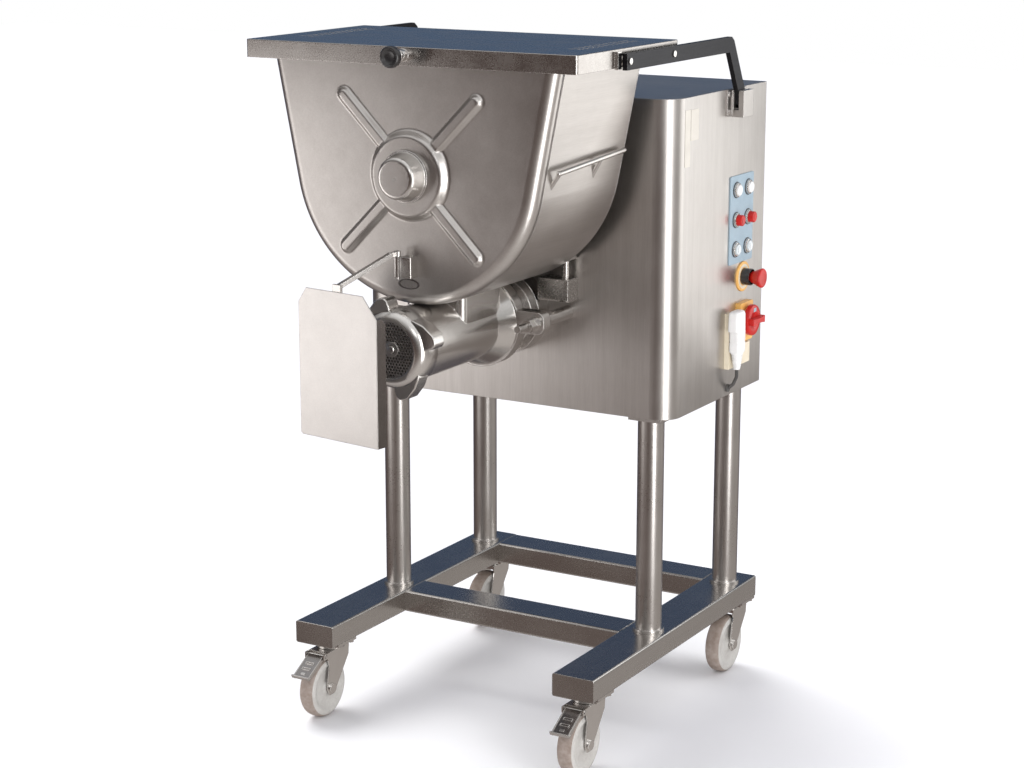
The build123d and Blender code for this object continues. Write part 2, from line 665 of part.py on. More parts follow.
hinge = box(CAB_X, CAB_X + 3, 222, 308, 1222, 1274)
hinge += box(CAB_X + 3, CAB_X + 28, 243, 290, 1219, 1272)
hinge -= box(ARM_X0 - 0.5, ARM_X1 + 0.5, 200, 320, 1233, 1300)
hinge += cyl_x(HINGE_PIN_R, CAB_X + 4, CAB_X + 28, HINGE_Y, HINGE_Z)
for y in (230, 300):
    for z in (1230, 1265):
        hinge += cyl_x(6, CAB_X + 2, ARM_X0 - ARM_RUN_GAP, y, z)
save("lid_hinge_blocks", group([hinge, mirrored(hinge)]))

# ---------------------------------------------------------------- guard in front of the outlet
px, py = GUARD_PIN
bracket = box(px + 7, 14, -402, HOP_Y_FRONT, 964, 1003)
bracket = fillet(bracket.edges().filter_by(Axis.Z).sort_by(Axis.Y)[:2], 3)
bracket += cyl_z(6.5, 964, 1003, px, py)
bracket += box(px, px + 9, py - 4, py + 4, 964, 1003)
bracket -= cyl_z(3 + RUN_GAP, 960, 1010, px, py)
save("guard_bracket", bracket)

gd = Vector(cos(radians(GUARD_TURN)), sin(radians(GUARD_TURN)), 0)
gn = Vector(-gd.Y, gd.X, 0)
left = Vector(GUARD_L[0], GUARD_L[1], 0)
plate_plane = Plane(origin=left, x_dir=gd, z_dir=-gn)
face = make_face(
    Polyline(
        (4, GUARD_Z0), (GUARD_W, GUARD_Z0), (GUARD_W, 911), (161, GUARD_Z1),
        (20, GUARD_Z1), (0, 923), (0, GUARD_Z0 + 4), close=True,
    )
)
sheet = extrude(plate_plane * face, GUARD_T, dir=gn)
side = Pos(GUARD_SKIRT / 2, (GUARD_Z0 + 911) / 2) * Rectangle(GUARD_SKIRT, 911 - GUARD_Z0)
skirt = extrude(Plane(origin=left + gd * GUARD_W, x_dir=gn, z_dir=gd) * side, GUARD_T, dir=-gd)
save("guard_plate", sheet + skirt)

arm_end = left + gd * 95.0 + gn * (GUARD_T + 4)
g_arm = cyl_z(3, 960, 1004, px, py)
g_arm += cyl_z(7, 1003.3, 1013, px, py)
bend = (px - 5, py - 14, 1008)
g_arm += bar((px, py, 1008), bend, 9, 8)
g_arm += bar(bend, (arm_end.X, arm_end.Y, 959), 11, 8)
g_arm += Pos(*bend) * Sphere(5.2)
tab = Plane(origin=left + gd * 95.0 + gn * GUARD_T, x_dir=gd, z_dir=-gn) * (Pos(0, 948) * Rectangle(20, 32))
g_arm += extrude(tab, 6, dir=gn)
g_arm -= sheet
save("guard_arm", g_arm.solids().sort_by(SortBy.VOLUME)[-1])

# ---------------------------------------------------------------- controls
panel = box(CAB_X, CAB_X + PANEL_T, PANEL_Y - PANEL_W / 2, PANEL_Y + PANEL_W / 2,
            PANEL_Z - PANEL_H / 2, PANEL_Z + PANEL_H / 2)
panel = fillet(panel.edges().filter_by(Axis.X), 4)
save("control_plate", panel)

FACE_X = CAB_X + PANEL_T
bezels = []
names = ("white", "red", "clear")
tops = (FACE_X + 9.5, FACE_X + 17.0, FACE_X + 9.5)
for row, z in enumerate(BUTTON_ZS):
    for col, y in enumerate(BUTTON_YS):
        bezel = cyl_x(15, FACE_X, FACE_X + 6, y, z) - cyl_x(BUTTON_R + 0.3, FACE_X - 1, FACE_X + 7, y, z)
        bezels.append(bezel)
        button = cyl_x(BUTTON_R, FACE_X + 3.4, tops[row], y, z)
        button = fillet(button.edges().filter_by(GeomType.CIRCLE).sort_by(Axis.X)[-1:], 2)
        side = "front" if col == 0 else "rear"
        save(f"button_{names[row]}_{side}", button)
save("button_bezels", group(bezels))

e_base = cyl_x(31, CAB_X, CAB_X + 3.5, ESTOP_Y, ESTOP_Z) + cyl_x(17, CAB_X + 3, CAB_X + 22, ESTOP_Y, ESTOP_Z)
e_base -= cyl_x(8.3, CAB_X + 3.5, CAB_X + 23, ESTOP_Y, ESTOP_Z)
save("estop_base", e_base)
e_cap = cyl_x(20, CAB_X + 30, CAB_X + 48, ESTOP_Y, ESTOP_Z)
e_cap = fillet(e_cap.edges().filter_by(GeomType.CIRCLE), 5)
e_cap += cyl_x(8, CAB_X + 10, CAB_X + 31, ESTOP_Y, ESTOP_Z)
save("estop_button", e_cap)

iso = box(CAB_X, CAB_X + 12, 288, 348, 753, 834)
iso = fillet(iso.edges().filter_by(Axis.X), 5)
iso += cyl_x(24, CAB_X + 11, CAB_X + 18, SWITCH_Y, SWITCH_Z)
save("isolator_box", iso)
knob_disc = cyl_x(32, CAB_X + 18.3, CAB_X + 30, SWITCH_Y, SWITCH_Z)
knob_disc = fillet(knob_disc.edges().filter_by(GeomType.CIRCLE).sort_by(Axis.X)[-1:], 3)
grip = box(CAB_X + 29, CAB_X + 41, SWITCH_Y - 28, SWITCH_Y + 28, SWITCH_Z - 7, SWITCH_Z + 7)
save("isolator_knob", knob_disc + fillet(grip.edges().filter_by(Axis.X), 4))

socket = box(CAB_X, CAB_X + 10, 238, 340, 706, 748) + box(CAB_X, CAB_X + 10, 238, 268, 747, 820)
save("connector_socket", socket)
plug = box(CAB_X + 10, CAB_X + 34, 234, 271, 742, 788)
plug = fillet(plug.edges().filter_by(Axis.X), 5)
hood = box(CAB_X + 10, CAB_X + 32, 227, 270, 786, 828)
plug += fillet(hood.edges().filter_by(Axis.X), 8)
taper = loft([
    Pos(CAB_X + 22, 252.5, 744) * Rectangle(22, 36),
    Pos(CAB_X + 22, 252.5, 706) * Rectangle(15, 22),
])
plug += taper
save("connector_plug", plug)

# short lead, held at the plug and at the gland in the wall
lead_x = CAB_X + 22
lead_points = [
    (lead_x, 252.5, 706),
    (lead_x, 253, 690),
    (lead_x - 8, 254, 673),
    (CAB_X + 3, 255, 664),
]
lead_line = FilletPolyline(*lead_points, radius=[16.0, 16.0])
lead = sweep(Plane(origin=lead_line @ 0, z_dir=lead_line % 0) * Circle(3.5), path=lead_line)
lead += cyl_x(8, CAB_X, CAB_X + 4, 255, 664)
save("control_lead", lead)
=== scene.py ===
"""Looks for the floor-standing mixer grinder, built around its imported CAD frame. Metres, +Z up."""
import math

import bmesh
import bpy
from mathutils import Matrix, Vector


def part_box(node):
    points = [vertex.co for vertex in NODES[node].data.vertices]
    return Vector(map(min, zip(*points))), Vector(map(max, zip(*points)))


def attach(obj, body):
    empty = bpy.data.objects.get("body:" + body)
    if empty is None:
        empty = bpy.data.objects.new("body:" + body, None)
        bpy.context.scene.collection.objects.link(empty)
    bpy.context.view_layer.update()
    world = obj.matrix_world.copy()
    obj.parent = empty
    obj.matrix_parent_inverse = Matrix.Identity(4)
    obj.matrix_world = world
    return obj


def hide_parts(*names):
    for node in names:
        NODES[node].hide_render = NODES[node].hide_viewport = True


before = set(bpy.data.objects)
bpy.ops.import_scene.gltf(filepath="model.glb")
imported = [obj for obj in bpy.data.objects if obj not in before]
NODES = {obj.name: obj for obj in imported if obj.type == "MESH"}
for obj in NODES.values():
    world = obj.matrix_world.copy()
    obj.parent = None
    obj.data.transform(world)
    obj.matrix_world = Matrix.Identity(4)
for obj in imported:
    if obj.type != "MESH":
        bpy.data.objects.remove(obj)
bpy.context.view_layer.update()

# ---------------------------------------------------------------- camera
CAMERA_AT = Vector((2.2255, -3.786713, 1.7309))
CAMERA_AZIMUTH = math.radians(30.33)
CAMERA_PITCH = math.radians(13.32)
LENS_MM = 79.03
SENSOR_MM = 36.0

camera_data = bpy.data.cameras.new("camera")
camera_data.lens = LENS_MM
camera_data.sensor_width = SENSOR_MM
camera_data.clip_end = 100.0
camera = bpy.data.objects.new("camera", camera_data)
bpy.context.scene.collection.objects.link(camera)
camera.location = CAMERA_AT
camera.rotation_euler = (math.pi / 2 - CAMERA_PITCH, 0.0, CAMERA_AZIMUTH)
bpy.context.scene.camera = camera
bpy.context.scene.view_settings.view_transform = "Standard"


# ---------------------------------------------------------------- shader helpers
class Shader:
    """A node material and the few calls used to wire it."""

    def __init__(self, name):
        self.mat = bpy.data.materials.new(name)
        self.mat.use_nodes = True
        self.tree = self.mat.node_tree
        self.bsdf = self.tree.nodes["Principled BSDF"]

    def add(self, kind, **values):
        node = self.tree.nodes.new(kind)
        for key, value in values.items():
            if hasattr(node, key):
                setattr(node, key, value)
            else:
                node.inputs[key.replace("_", " ")].default_value = value
        return node

    def link(self, a, b):
        self.tree.links.new(a, b)

    def position(self, scale):
        """Object coordinates stretched by scale, one number for each axis."""
        coord = self.add("ShaderNodeTexCoord")
        mapping = self.add("ShaderNodeMapping")
        mapping.inputs["Scale"].default_value = scale
        self.link(coord.outputs["Object"], mapping.inputs["Vector"])
        return mapping.outputs["Vector"]

    def noise(self, vector, scale, detail=4.0, rough=0.55):
        node = self.add("ShaderNodeTexNoise")
        node.inputs["Scale"].default_value = scale
        node.inputs["Detail"].default_value = detail
        node.inputs["Roughness"].default_value = rough
        self.link(vector, node.inputs["Vector"])
        return node.outputs["Fac"]

    def span(self, value, lo, hi, out_lo=0.0, out_hi=1.0, smooth=False):
        node = self.add("ShaderNodeMapRange")
        node.clamp = True
        if smooth:
            node.interpolation_type = "SMOOTHSTEP"
        for key, number in (("From Min", lo), ("From Max", hi), ("To Min", out_lo), ("To Max", out_hi)):
            node.inputs[key].default_value = number
        self.link(value, node.inputs["Value"])
        return node.outputs["Result"]

    def math(self, op, a, b):
        node = self.add("ShaderNodeMath")
        node.operation = op
        for socket, value in zip(node.inputs, (a, b)):
            if isinstance(value, (int, float)):
                socket.default_value = value
            else:
                self.link(value, socket)
        return node.outputs["Value"]

    def mix(self, factor, a, b, blend="MIX"):
        node = self.add("ShaderNodeMix")
        node.data_type = "RGBA"
        node.blend_type = blend
        sockets = [s for s in node.inputs if s.type == "RGBA"]
        for socket, value in zip([node.inputs["Factor"], *sockets], (factor, a, b)):
            if isinstance(value, (int, float)):
                socket.default_value = value
            elif isinstance(value, (tuple, list)):
                socket.default_value = (*value, 1.0)
            else:
                self.link(value, socket)
        return [s for s in node.outputs if s.type == "RGBA"][0]

    def edges(self, radius):
        """A mask of convex and concave edges, 0 on flat faces, from the difference of two normals."""
        bevel = self.add("ShaderNodeBevel")
        bevel.samples = 6
        bevel.inputs["Radius"].default_value = radius
        geometry = self.add("ShaderNodeNewGeometry")
        dot = self.add("ShaderNodeVectorMath")
        dot.operation = "DOT_PRODUCT"
        self.link(bevel.outputs["Normal"], dot.inputs[0])
        self.link(geometry.outputs["Normal"], dot.inputs[1])
        return self.span(dot.outputs["Value"], 0.99, 0.75), bevel.outputs["Normal"]

    def bump(self, height, strength, distance, normal=None):
        node = self.add("ShaderNodeBump")
        node.inputs["Strength"].default_value = strength
        node.inputs["Distance"].default_value = distance
        self.link(height, node.inputs["Height"])
        if normal is not None:
            self.link(normal, node.inputs["Normal"])
        self.link(node.outputs["Normal"], self.bsdf.inputs["Normal"])


def metal(name, light, dark, rough, grain=(1, 1, 40), fine=900.0, bump=0.12, round_mm=1.2,
          blotch=7.0, rough_span=0.10, edge=(0.86, 0.85, 0.84)):
    """Brushed or blasted steel: stretched grain, soft handling marks, and edges lightened partly as wear and
    partly as a painted highlight.
    grain holds how much each axis is compressed, so the smallest number is the brushing direction."""
    s = Shader(name)
    s.bsdf.inputs["Metallic"].default_value = 1.0
    top = max(grain)
    stretched = s.position(tuple(g / top for g in grain))
    plain = s.position((1, 1, 1))
    hair = s.noise(stretched, fine, 3.0, 0.6)
    band = s.noise(stretched, fine / 14.0, 3.0, 0.6)
    cloud = s.noise(plain, blotch, 5.0, 0.6)
    speck = s.noise(plain, 260.0, 2.0, 0.5)
    mask, soft_normal = s.edges(round_mm / 1000.0)
    tone = s.math("ADD", s.math("MULTIPLY", s.span(hair, 0.3, 0.7), 0.35),
                  s.math("MULTIPLY", s.span(band, 0.3, 0.7), 0.3))
    tone = s.math("ADD", tone, s.math("MULTIPLY", s.span(cloud, 0.3, 0.7), 0.35))
    colour = s.mix(tone, dark, light)
    # edges mixed towards the lighter edge colour: partly wear, partly a painted highlight
    colour = s.mix(s.math("MULTIPLY", mask, 0.4), colour, edge)
    s.link(colour, s.bsdf.inputs["Base Color"])
    spread = s.math("ADD", s.math("MULTIPLY", s.span(cloud, 0.25, 0.75), 0.6),
                    s.math("MULTIPLY", s.span(speck, 0.3, 0.7), 0.4))
    rough_value = s.span(spread, 0.0, 1.0, max(0.03, rough - rough_span / 2), rough + rough_span / 2)
    rough_value = s.math("SUBTRACT", rough_value, s.math("MULTIPLY", mask, 0.06))
    s.link(rough_value, s.bsdf.inputs["Roughness"])
    s.bump(hair, bump, 0.0003, soft_normal)
    return s.mat


def plastic(name, light, dark, rough, grain_scale=500.0, bump=0.08, round_mm=0.6, coat=0.0,
            edge=None, specular=0.5):
    """Moulded plastic or paint: fine grain, uneven gloss, and edges mixed towards the edge colour when one
    is given.
    """
    s = Shader(name)
    plain = s.position((1, 1, 1))
    fine = s.noise(plain, grain_scale, 3.0, 0.6)
    cloud = s.noise(plain, 28.0, 4.0, 0.6)
    mask, soft_normal = s.edges(round_mm / 1000.0)
    tone = s.math("ADD", s.math("MULTIPLY", s.span(fine, 0.3, 0.7), 0.35),
                  s.math("MULTIPLY", s.span(cloud, 0.3, 0.7), 0.65))
    colour = s.mix(tone, dark, light)
    if edge is not None:
        colour = s.mix(s.math("MULTIPLY", mask, 0.5), colour, edge)
    s.link(colour, s.bsdf.inputs["Base Color"])
    s.link(s.span(cloud, 0.25, 0.75, rough - 0.06, rough + 0.06), s.bsdf.inputs["Roughness"])
    s.bsdf.inputs["Coat Weight"].default_value = coat
    s.bsdf.inputs["Coat Roughness"].default_value = 0.12
    s.bsdf.inputs["Specular IOR Level"].default_value = specular
    s.bump(fine, bump, 0.0004, soft_normal)
    return s.mat


STEEL_LIGHT = (0.66, 0.635, 0.615)
STEEL_DARK = (0.50, 0.475, 0.455)
RAIL_LIGHT = (0.60, 0.58, 0.56)
RAIL_DARK = (0.50, 0.48, 0.46)
ALONG_X, ALONG_Y, ALONG_Z = (1, 40, 40), (40, 1, 40), (40, 40, 1)
MATS = {
    "cabinet": metal("cabinet_steel", STEEL_LIGHT, STEEL_DARK, 0.34, ALONG_Z, 1100, 0.10, 1.5),
    "panel": metal("panel_steel", STEEL_LIGHT, STEEL_DARK, 0.33, (1, 1, 1), 420, 0.05, 2.0, blotch=9.0),
    "trough": metal("trough_steel", STEEL_LIGHT, STEEL_DARK, 0.34, ALONG_Y, 900, 0.08, 1.5),
    "lid": metal("lid_steel", (0.62, 0.60, 0.58), (0.45, 0.42, 0.40), 0.27, ALONG_X, 1000, 0.05, 1.2,
                 blotch=20.0),
    "rail_y": metal("rail_steel", RAIL_LIGHT, RAIL_DARK, 0.27, ALONG_Y, 1000, 0.04, 2.0),
    "rail_x": metal("cross_steel", RAIL_LIGHT, RAIL_DARK, 0.27, ALONG_X, 1000, 0.04, 2.0),
    "post": metal("post_steel", STEEL_LIGHT, STEEL_DARK, 0.30, ALONG_Z, 1000, 0.08, 1.5),
    "cast": metal("cast_steel", (0.74, 0.72, 0.70), (0.60, 0.58, 0.56), 0.23, (1, 1, 1), 300, 0.06, 3.0),
    "satin": metal("satin_steel", (0.70, 0.68, 0.66), (0.58, 0.56, 0.54), 0.24, ALONG_X, 800, 0.05, 1.0),
    "polished": metal("polished_steel", (0.74, 0.72, 0.70), (0.64, 0.62, 0.60), 0.14, (1, 1, 1), 500, 0.03,
                      0.8),
    "dark": metal("dark_steel", (0.24, 0.22, 0.21), (0.14, 0.13, 0.13), 0.32, (1, 1, 1), 500, 0.08, 0.8,
                  edge=(0.5, 0.48, 0.46)),
    "guard": metal("guard_steel", (0.74, 0.72, 0.70), (0.62, 0.60, 0.585), 0.38, (1, 1, 1), 420, 0.05, 1.5),
    "black_bar": metal("black_bar", (0.045, 0.045, 0.05), (0.02, 0.02, 0.023), 0.38, ALONG_Y, 700, 0.06, 1.0,
                       edge=(0.35, 0.34, 0.33)),
    "black_plastic": plastic("black_plastic", (0.035, 0.032, 0.032), (0.015, 0.014, 0.014), 0.28, coat=0.3),
    "nylon": plastic("white_nylon", (0.66, 0.645, 0.60), (0.47, 0.445, 0.41), 0.42, 240, 0.15, 1.2),
    "plate": metal("plate_steel", (0.55, 0.53, 0.51), (0.40, 0.38, 0.37), 0.22, (1, 1, 1), 500, 0.04, 0.5),
    # the guard skirt's steel, darkened as a painted dark reflection
    "guard_skirt_painted_reflection": metal("guard_skirt_painted_reflection_steel", (0.26, 0.235, 0.225), (0.17, 0.15, 0.14), 0.25, (1, 1, 1), 420,
                        0.05, 0.8),
    "tread": plastic("nylon_tread", (0.46, 0.39, 0.34), (0.22, 0.16, 0.125), 0.55, 120, 0.3, 1.2),
    "pedal": metal("pedal_steel", (0.42, 0.40, 0.39), (0.30, 0.285, 0.28), 0.12, (1, 1, 1), 500, 0.03, 1.0),
    "white": plastic("white_plastic", (0.86, 0.85, 0.83), (0.76, 0.75, 0.73), 0.35),
    "cream": plastic("cream_plastic", (0.80, 0.72, 0.56), (0.70, 0.61, 0.45), 0.4),
    "blue": plastic("blue_grey_plate", (0.36, 0.46, 0.52), (0.27, 0.36, 0.42), 0.45, 700),
    "red": plastic("red_plastic", (0.60, 0.008, 0.004), (0.42, 0.004, 0.002), 0.34, coat=0.08),
    "yellow": plastic("yellow_plastic", (0.88, 0.52, 0.16), (0.78, 0.42, 0.10), 0.42, edge=(0.7, 0.2, 0.04)),
    "lens": plastic("clear_lens", (0.72, 0.76, 0.76), (0.56, 0.61, 0.62), 0.15, coat=0.6),
    "paint": plastic("drive_paint", (0.11, 0.15, 0.17), (0.06, 0.085, 0.10), 0.45, 160, 0.2),
    "label": plastic("label_film", (0.70, 0.66, 0.58), (0.60, 0.56, 0.49), 0.45),
    "cable": plastic("cable_sheath", (0.10, 0.095, 0.09), (0.05, 0.048, 0.045), 0.5, 300),
}
SLOT_LOOK = {
    "stainless_brushed": "cabinet", "stainless_dark": "dark", "stainless_polished": "polished",
    "black_bar": "black_bar", "black_plastic": "black_plastic", "white_nylon": "nylon",
    "white_plastic": "white", "cream_plastic": "cream", "blue_grey_plate": "blue",
    "red_plastic": "red", "yellow_plastic": "yellow", "clear_lens": "lens",
    "drive_paint": "paint", "label_film": "label", "cable_sheath": "cable",
}
NODE_LOOK = {
    "base_side_rails": "rail_y", "base_cross_rails": "rail_x", "support_posts": "post",
    "caster_top_plates": "satin", "caster_plate_bolts": "polished", "hopper_front_panel": "panel",
    "hopper_trough": "trough", "hopper_rear_panel": "panel", "paddle_bearing_cap": "cast",
    "side_grab_bar": "satin", "hopper_support_blocks": "rail_y", "grinder_head": "cast",
    "head_neck": "cast", "hole_plate": "polished", "clamp_studs": "satin", "clamp_nuts": "polished",
    "lid_panel": "lid", "guard_plate": "guard", "guard_arm": "satin", "guard_bracket": "satin",
    "ring_nut": "cast", "mixing_paddle": "trough", "caster_fl_brake": "pedal", "caster_fr_brake": "pedal",
}
for node_name, node in NODES.items():
    look = NODE_LOOK.get(node_name)
    for index, material in enumerate(node.data.materials):
        chosen = look or SLOT_LOOK[material.name]
        node.material_slots[index].link = "OBJECT"
        node.material_slots[index].material = MATS[chosen]


# ---------------------------------------------------------------- mesh helpers
def link(mesh, name, look, body, replaced=(), sharp=32.0):
    """Puts a finished mesh in the scene, on its body."""
    for polygon in mesh.polygons:
        polygon.use_smooth = True
    mesh.set_sharp_from_angle(angle=math.radians(sharp))
    obj = bpy.data.objects.new(name, mesh)
    bpy.context.scene.collection.objects.link(obj)
    mesh.materials.append(MATS[look])
    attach(obj, body)
    if replaced:
        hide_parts(*replaced)
    return obj


def to_mesh(bm, name):
    bmesh.ops.remove_doubles(bm, verts=bm.verts, dist=1e-6)
    bmesh.ops.recalc_face_normals(bm, faces=bm.faces)
    mesh = bpy.data.meshes.new(name)
    bm.to_mesh(mesh)
    bm.free()
    return mesh


AXES = {
    "x": Matrix(((0, 0, 1), (1, 0, 0), (0, 1, 0))),
    "y": Matrix(((0, 1, 0), (0, 0, 1), (1, 0, 0))),
    "z": Matrix.Identity(3),
}


def lathe(bm, profile, axis, centre, steps=72):
    """Turns a list of (distance along the axis, radius) about an axis through centre."""
    turn = AXES[axis]
    rings = []
    for along, radius in profile:
        if radius < 1e-6:
            rings.append([bm.verts.new(Vector(centre) + turn @ Vector((0, 0, along)))])
            continue
        ring = []
        for i in range(steps):
            a = math.tau * i / steps
            local = Vector((radius * math.cos(a), radius * math.sin(a), along))
            ring.append(bm.verts.new(Vector(centre) + turn @ local))
        rings.append(ring)
    for a, b in zip(rings, rings[1:]):
        for i in range(steps):
            j = (i + 1) % steps
            if len(a) == 1 and len(b) == 1:
                continue
            if len(a) == 1:
                bm.faces.new((a[0], b[j], b[i]))
            elif len(b) == 1:
                bm.faces.new((a[i], a[j], b[0]))
            else:
                bm.faces.new((a[i], a[j], b[j], b[i]))


def mm(*values):
    return tuple(v / 1000.0 for v in values)


def profile_mm(points):
    return [mm(*p) for p in points]


# ---------------------------------------------------------------- hopper front: one pressed sheet
front_lo, front_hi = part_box("hopper_front_panel")
shaft_lo, shaft_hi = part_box("paddle_bearing_cap")
AXIS_X = (front_lo.x + front_hi.x) / 2
FRONT_TOP = front_hi.z
HOP_R = 0.266
HOP_CZ = front_lo.z + HOP_R
HOP_SLOPE = 0.2
SLOPE_N = math.hypot(1, HOP_SLOPE)
PADDLE_Z = (shaft_lo.z + shaft_hi.z) / 2
BOSS_RISE = 0.015
FACE_Y = front_lo.y + BOSS_RISE
RIM_Y = front_hi.y
EDGE_R = 0.023
RIB_REACH = 0.150 * math.sqrt(2)
RIB_RISE, RIB_HALF_WIDTH, RIB_FLANK, RIB_END = 0.009, 0.016, 0.0095, 0.0115
BOSS_R, BOSS_FLANK = 0.086, 0.014
SHAFT_HOLE_R = 0.020
SHEET_T = 0.003
TURNS, RINGS = 560, 120
SEARCH_REACH, SEARCH_STEPS = 0.6, 40


def smooth(t):
    """An eased step from 0 to 1."""
    t = max(0.0, min(1.0, t))
    return t * t * (3 - 2 * t)


def side_distance(x, z):
    """Distance inwards from the hopper's round and sloping sides."""
    ax, dz = abs(x), z - HOP_CZ
    if dz > -HOP_SLOPE * ax:
        return HOP_R - (ax - HOP_SLOPE * dz) / SLOPE_N
    return HOP_R - math.hypot(ax, dz)


def emboss(x, z):
    """Height of the pressed cross and its centre boss above the sheet."""
    dz = z - PADDLE_Z
    height = 0.0
    for s in (-1, 1):
        along = (x + s * dz) / math.sqrt(2)
        across = abs(x - s * dz) / math.sqrt(2)
        beyond = max(0.0, abs(along) - (RIB_REACH - RIB_END))
        d = math.hypot(across, beyond)
        height = max(height, RIB_RISE * smooth((RIB_HALF_WIDTH - d) / RIB_FLANK))
    r = math.hypot(x, dz)
    boss = BOSS_RISE * smooth((BOSS_R - r) / BOSS_FLANK)
    return max(height, boss)


def rim_reaches():
    """Directions from the paddle shaft, each with the distance to the panel's outline."""
    reaches = []
    for k in range(TURNS):
        a = math.tau * (k + 0.5) / TURNS
        direction = (math.cos(a), math.sin(a))
        lo, hi = 0.0, SEARCH_REACH
        for _ in range(SEARCH_STEPS):
            m = (lo + hi) / 2
            x, z = direction[0] * m, PADDLE_Z + direction[1] * m
            inside = side_distance(x, z) > 0 and z < FRONT_TOP
            lo, hi = (m, hi) if inside else (lo, m)
        reaches.append((direction, lo))
    return reaches


def panel_sheet():
    """The pressed front: rounded edge, cross ribs and boss, and a rim folded back to the trough."""
    bm = bmesh.new()
    reaches = rim_reaches()
    grid = []
    for i in range(RINGS + 1):
        q = 1 - (1 - i / RINGS) ** 1.25
        row = []
        for direction, reach in reaches:
            r = SHAFT_HOLE_R + (reach - SHAFT_HOLE_R) * q
            x, z = direction[0] * r, PADDLE_Z + direction[1] * r
            d = max(0.0, side_distance(x, z))
            y = FACE_Y
            if d < EDGE_R:
                y += EDGE_R - math.sqrt(max(0.0, EDGE_R ** 2 - (EDGE_R - d) ** 2))
            row.append(bm.verts.new((AXIS_X + x, y - emboss(x, z), z)))
        grid.append(row)
    grid.append([bm.verts.new((v.co.x, RIM_Y, v.co.z)) for v in grid[-1]])
    for a, b in zip(grid, grid[1:]):
        for k in range(TURNS):
            j = (k + 1) % TURNS
            bm.faces.new((a[k], a[j], b[j], b[k]))
    return to_mesh(bm, "hopper_front_sheet")


sheet = link(panel_sheet(), "hopper_front_sheet", "panel", "frame",
             ["hopper_front_panel"], sharp=60)
thick = sheet.modifiers.new("thickness", "SOLIDIFY")
thick.thickness = SHEET_T
thick.offset = -1.0


# ---------------------------------------------------------------- small turned and moulded pieces
def bevelled(obj, width, segments=3, angle=35.0):
    """Real rounded edges on a crisp mesh."""
    mod = obj.modifiers.new("rounded_edges", "BEVEL")
    mod.width = width
    mod.segments = segments
    mod.limit_method = "ANGLE"
    mod.angle_limit = math.radians(angle)
    mod.harden_normals = True
    return obj


def turned(name, profile, axis, origin, look, body, replaced=(), steps=72, sharp=32.0):
    """A single lathe piece. The profile is in millimetres from origin."""
    bm = bmesh.new()
    lathe(bm, profile_mm(profile), axis, origin, steps)
    return link(to_mesh(bm, name), name, look, body, replaced, sharp)


def middle(node):
    lo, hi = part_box(node)
    return (lo + hi) / 2


def closed(points):
    """A profile that returns to its start, for a ring."""
    return [*points, points[0]]


WHEEL_HALF = [
    (17.0, 6.6), (17.0, 12.5), (15.8, 14.2), (13.6, 15.6), (12.6, 18.5), (12.2, 24.0), (12.2, 32.0),
    (12.6, 38.0), (13.6, 42.0), (15.4, 44.6), (16.8, 46.6), (17.6, 49.0), (17.7, 51.6), (17.0, 54.8),
    (15.4, 57.8), (12.8, 60.1), (9.6, 61.6), (5.6, 62.4), (0.0, 62.5),
]
WHEEL_RING = [(-x, r) for x, r in WHEEL_HALF] + [(x, r) for x, r in reversed(WHEEL_HALF[:-1])]
BEARING_RING = closed([(-17.9, 6.4), (-17.9, 10.6), (-17.2, 11.6), (17.2, 11.6), (17.9, 10.6), (17.9, 6.4)])
TREAD_FROM_R = 0.0588
for tag in ("fl", "fr", "rl", "rr"):
    node_name = f"caster_{tag}_wheel"
    centre = middle(node_name)
    nylon = turned(f"wheel_{tag}_nylon", closed(WHEEL_RING), "x", centre, "nylon",
                   f"wheel_{tag}", [node_name], 96, 50)
    nylon.data.materials.append(MATS["tread"])
    for polygon in nylon.data.polygons:
        radius = math.hypot(polygon.center.y - centre.y, polygon.center.z - centre.z)
        if radius > TREAD_FROM_R:
            polygon.material_index = 1
    turned(f"wheel_{tag}_bearing", BEARING_RING, "x", centre, "satin", f"wheel_{tag}")

knob_lo, knob_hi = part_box("lid_knob")
knob_at = Vector(((knob_lo.x + knob_hi.x) / 2, knob_lo.y, (knob_lo.z + knob_hi.z) / 2))
turned("lid_knob_grip", [
    (6.5, 0), (6.4, 6), (5.6, 10), (3.4, 12.6), (0.9, 14.4), (0, 16.2), (0.3, 17.8), (1.6, 19.2), (3.8, 20),
    (11.5, 20), (14.5, 19.2), (16.8, 16.8), (18.0, 13.0), (18.2, 6.0), (18.2, 0)],
    "y", knob_at, "black_plastic", "lid", ["lid_knob"])
turned("lid_knob_stem", [
    (18.0, 0), (18.0, 8.6), (20.2, 8.6), (21.2, 7.2), (23.0, 6.6), (34.0, 6.6), (35.0, 7.6), (36.0, 10.2),
    (41.0, 11.4), (45.5, 11.4), (46.5, 10.4), (47.5, 12.6), (52.9, 12.6), (52.9, 0)],
    "y", knob_at, "polished", "lid")

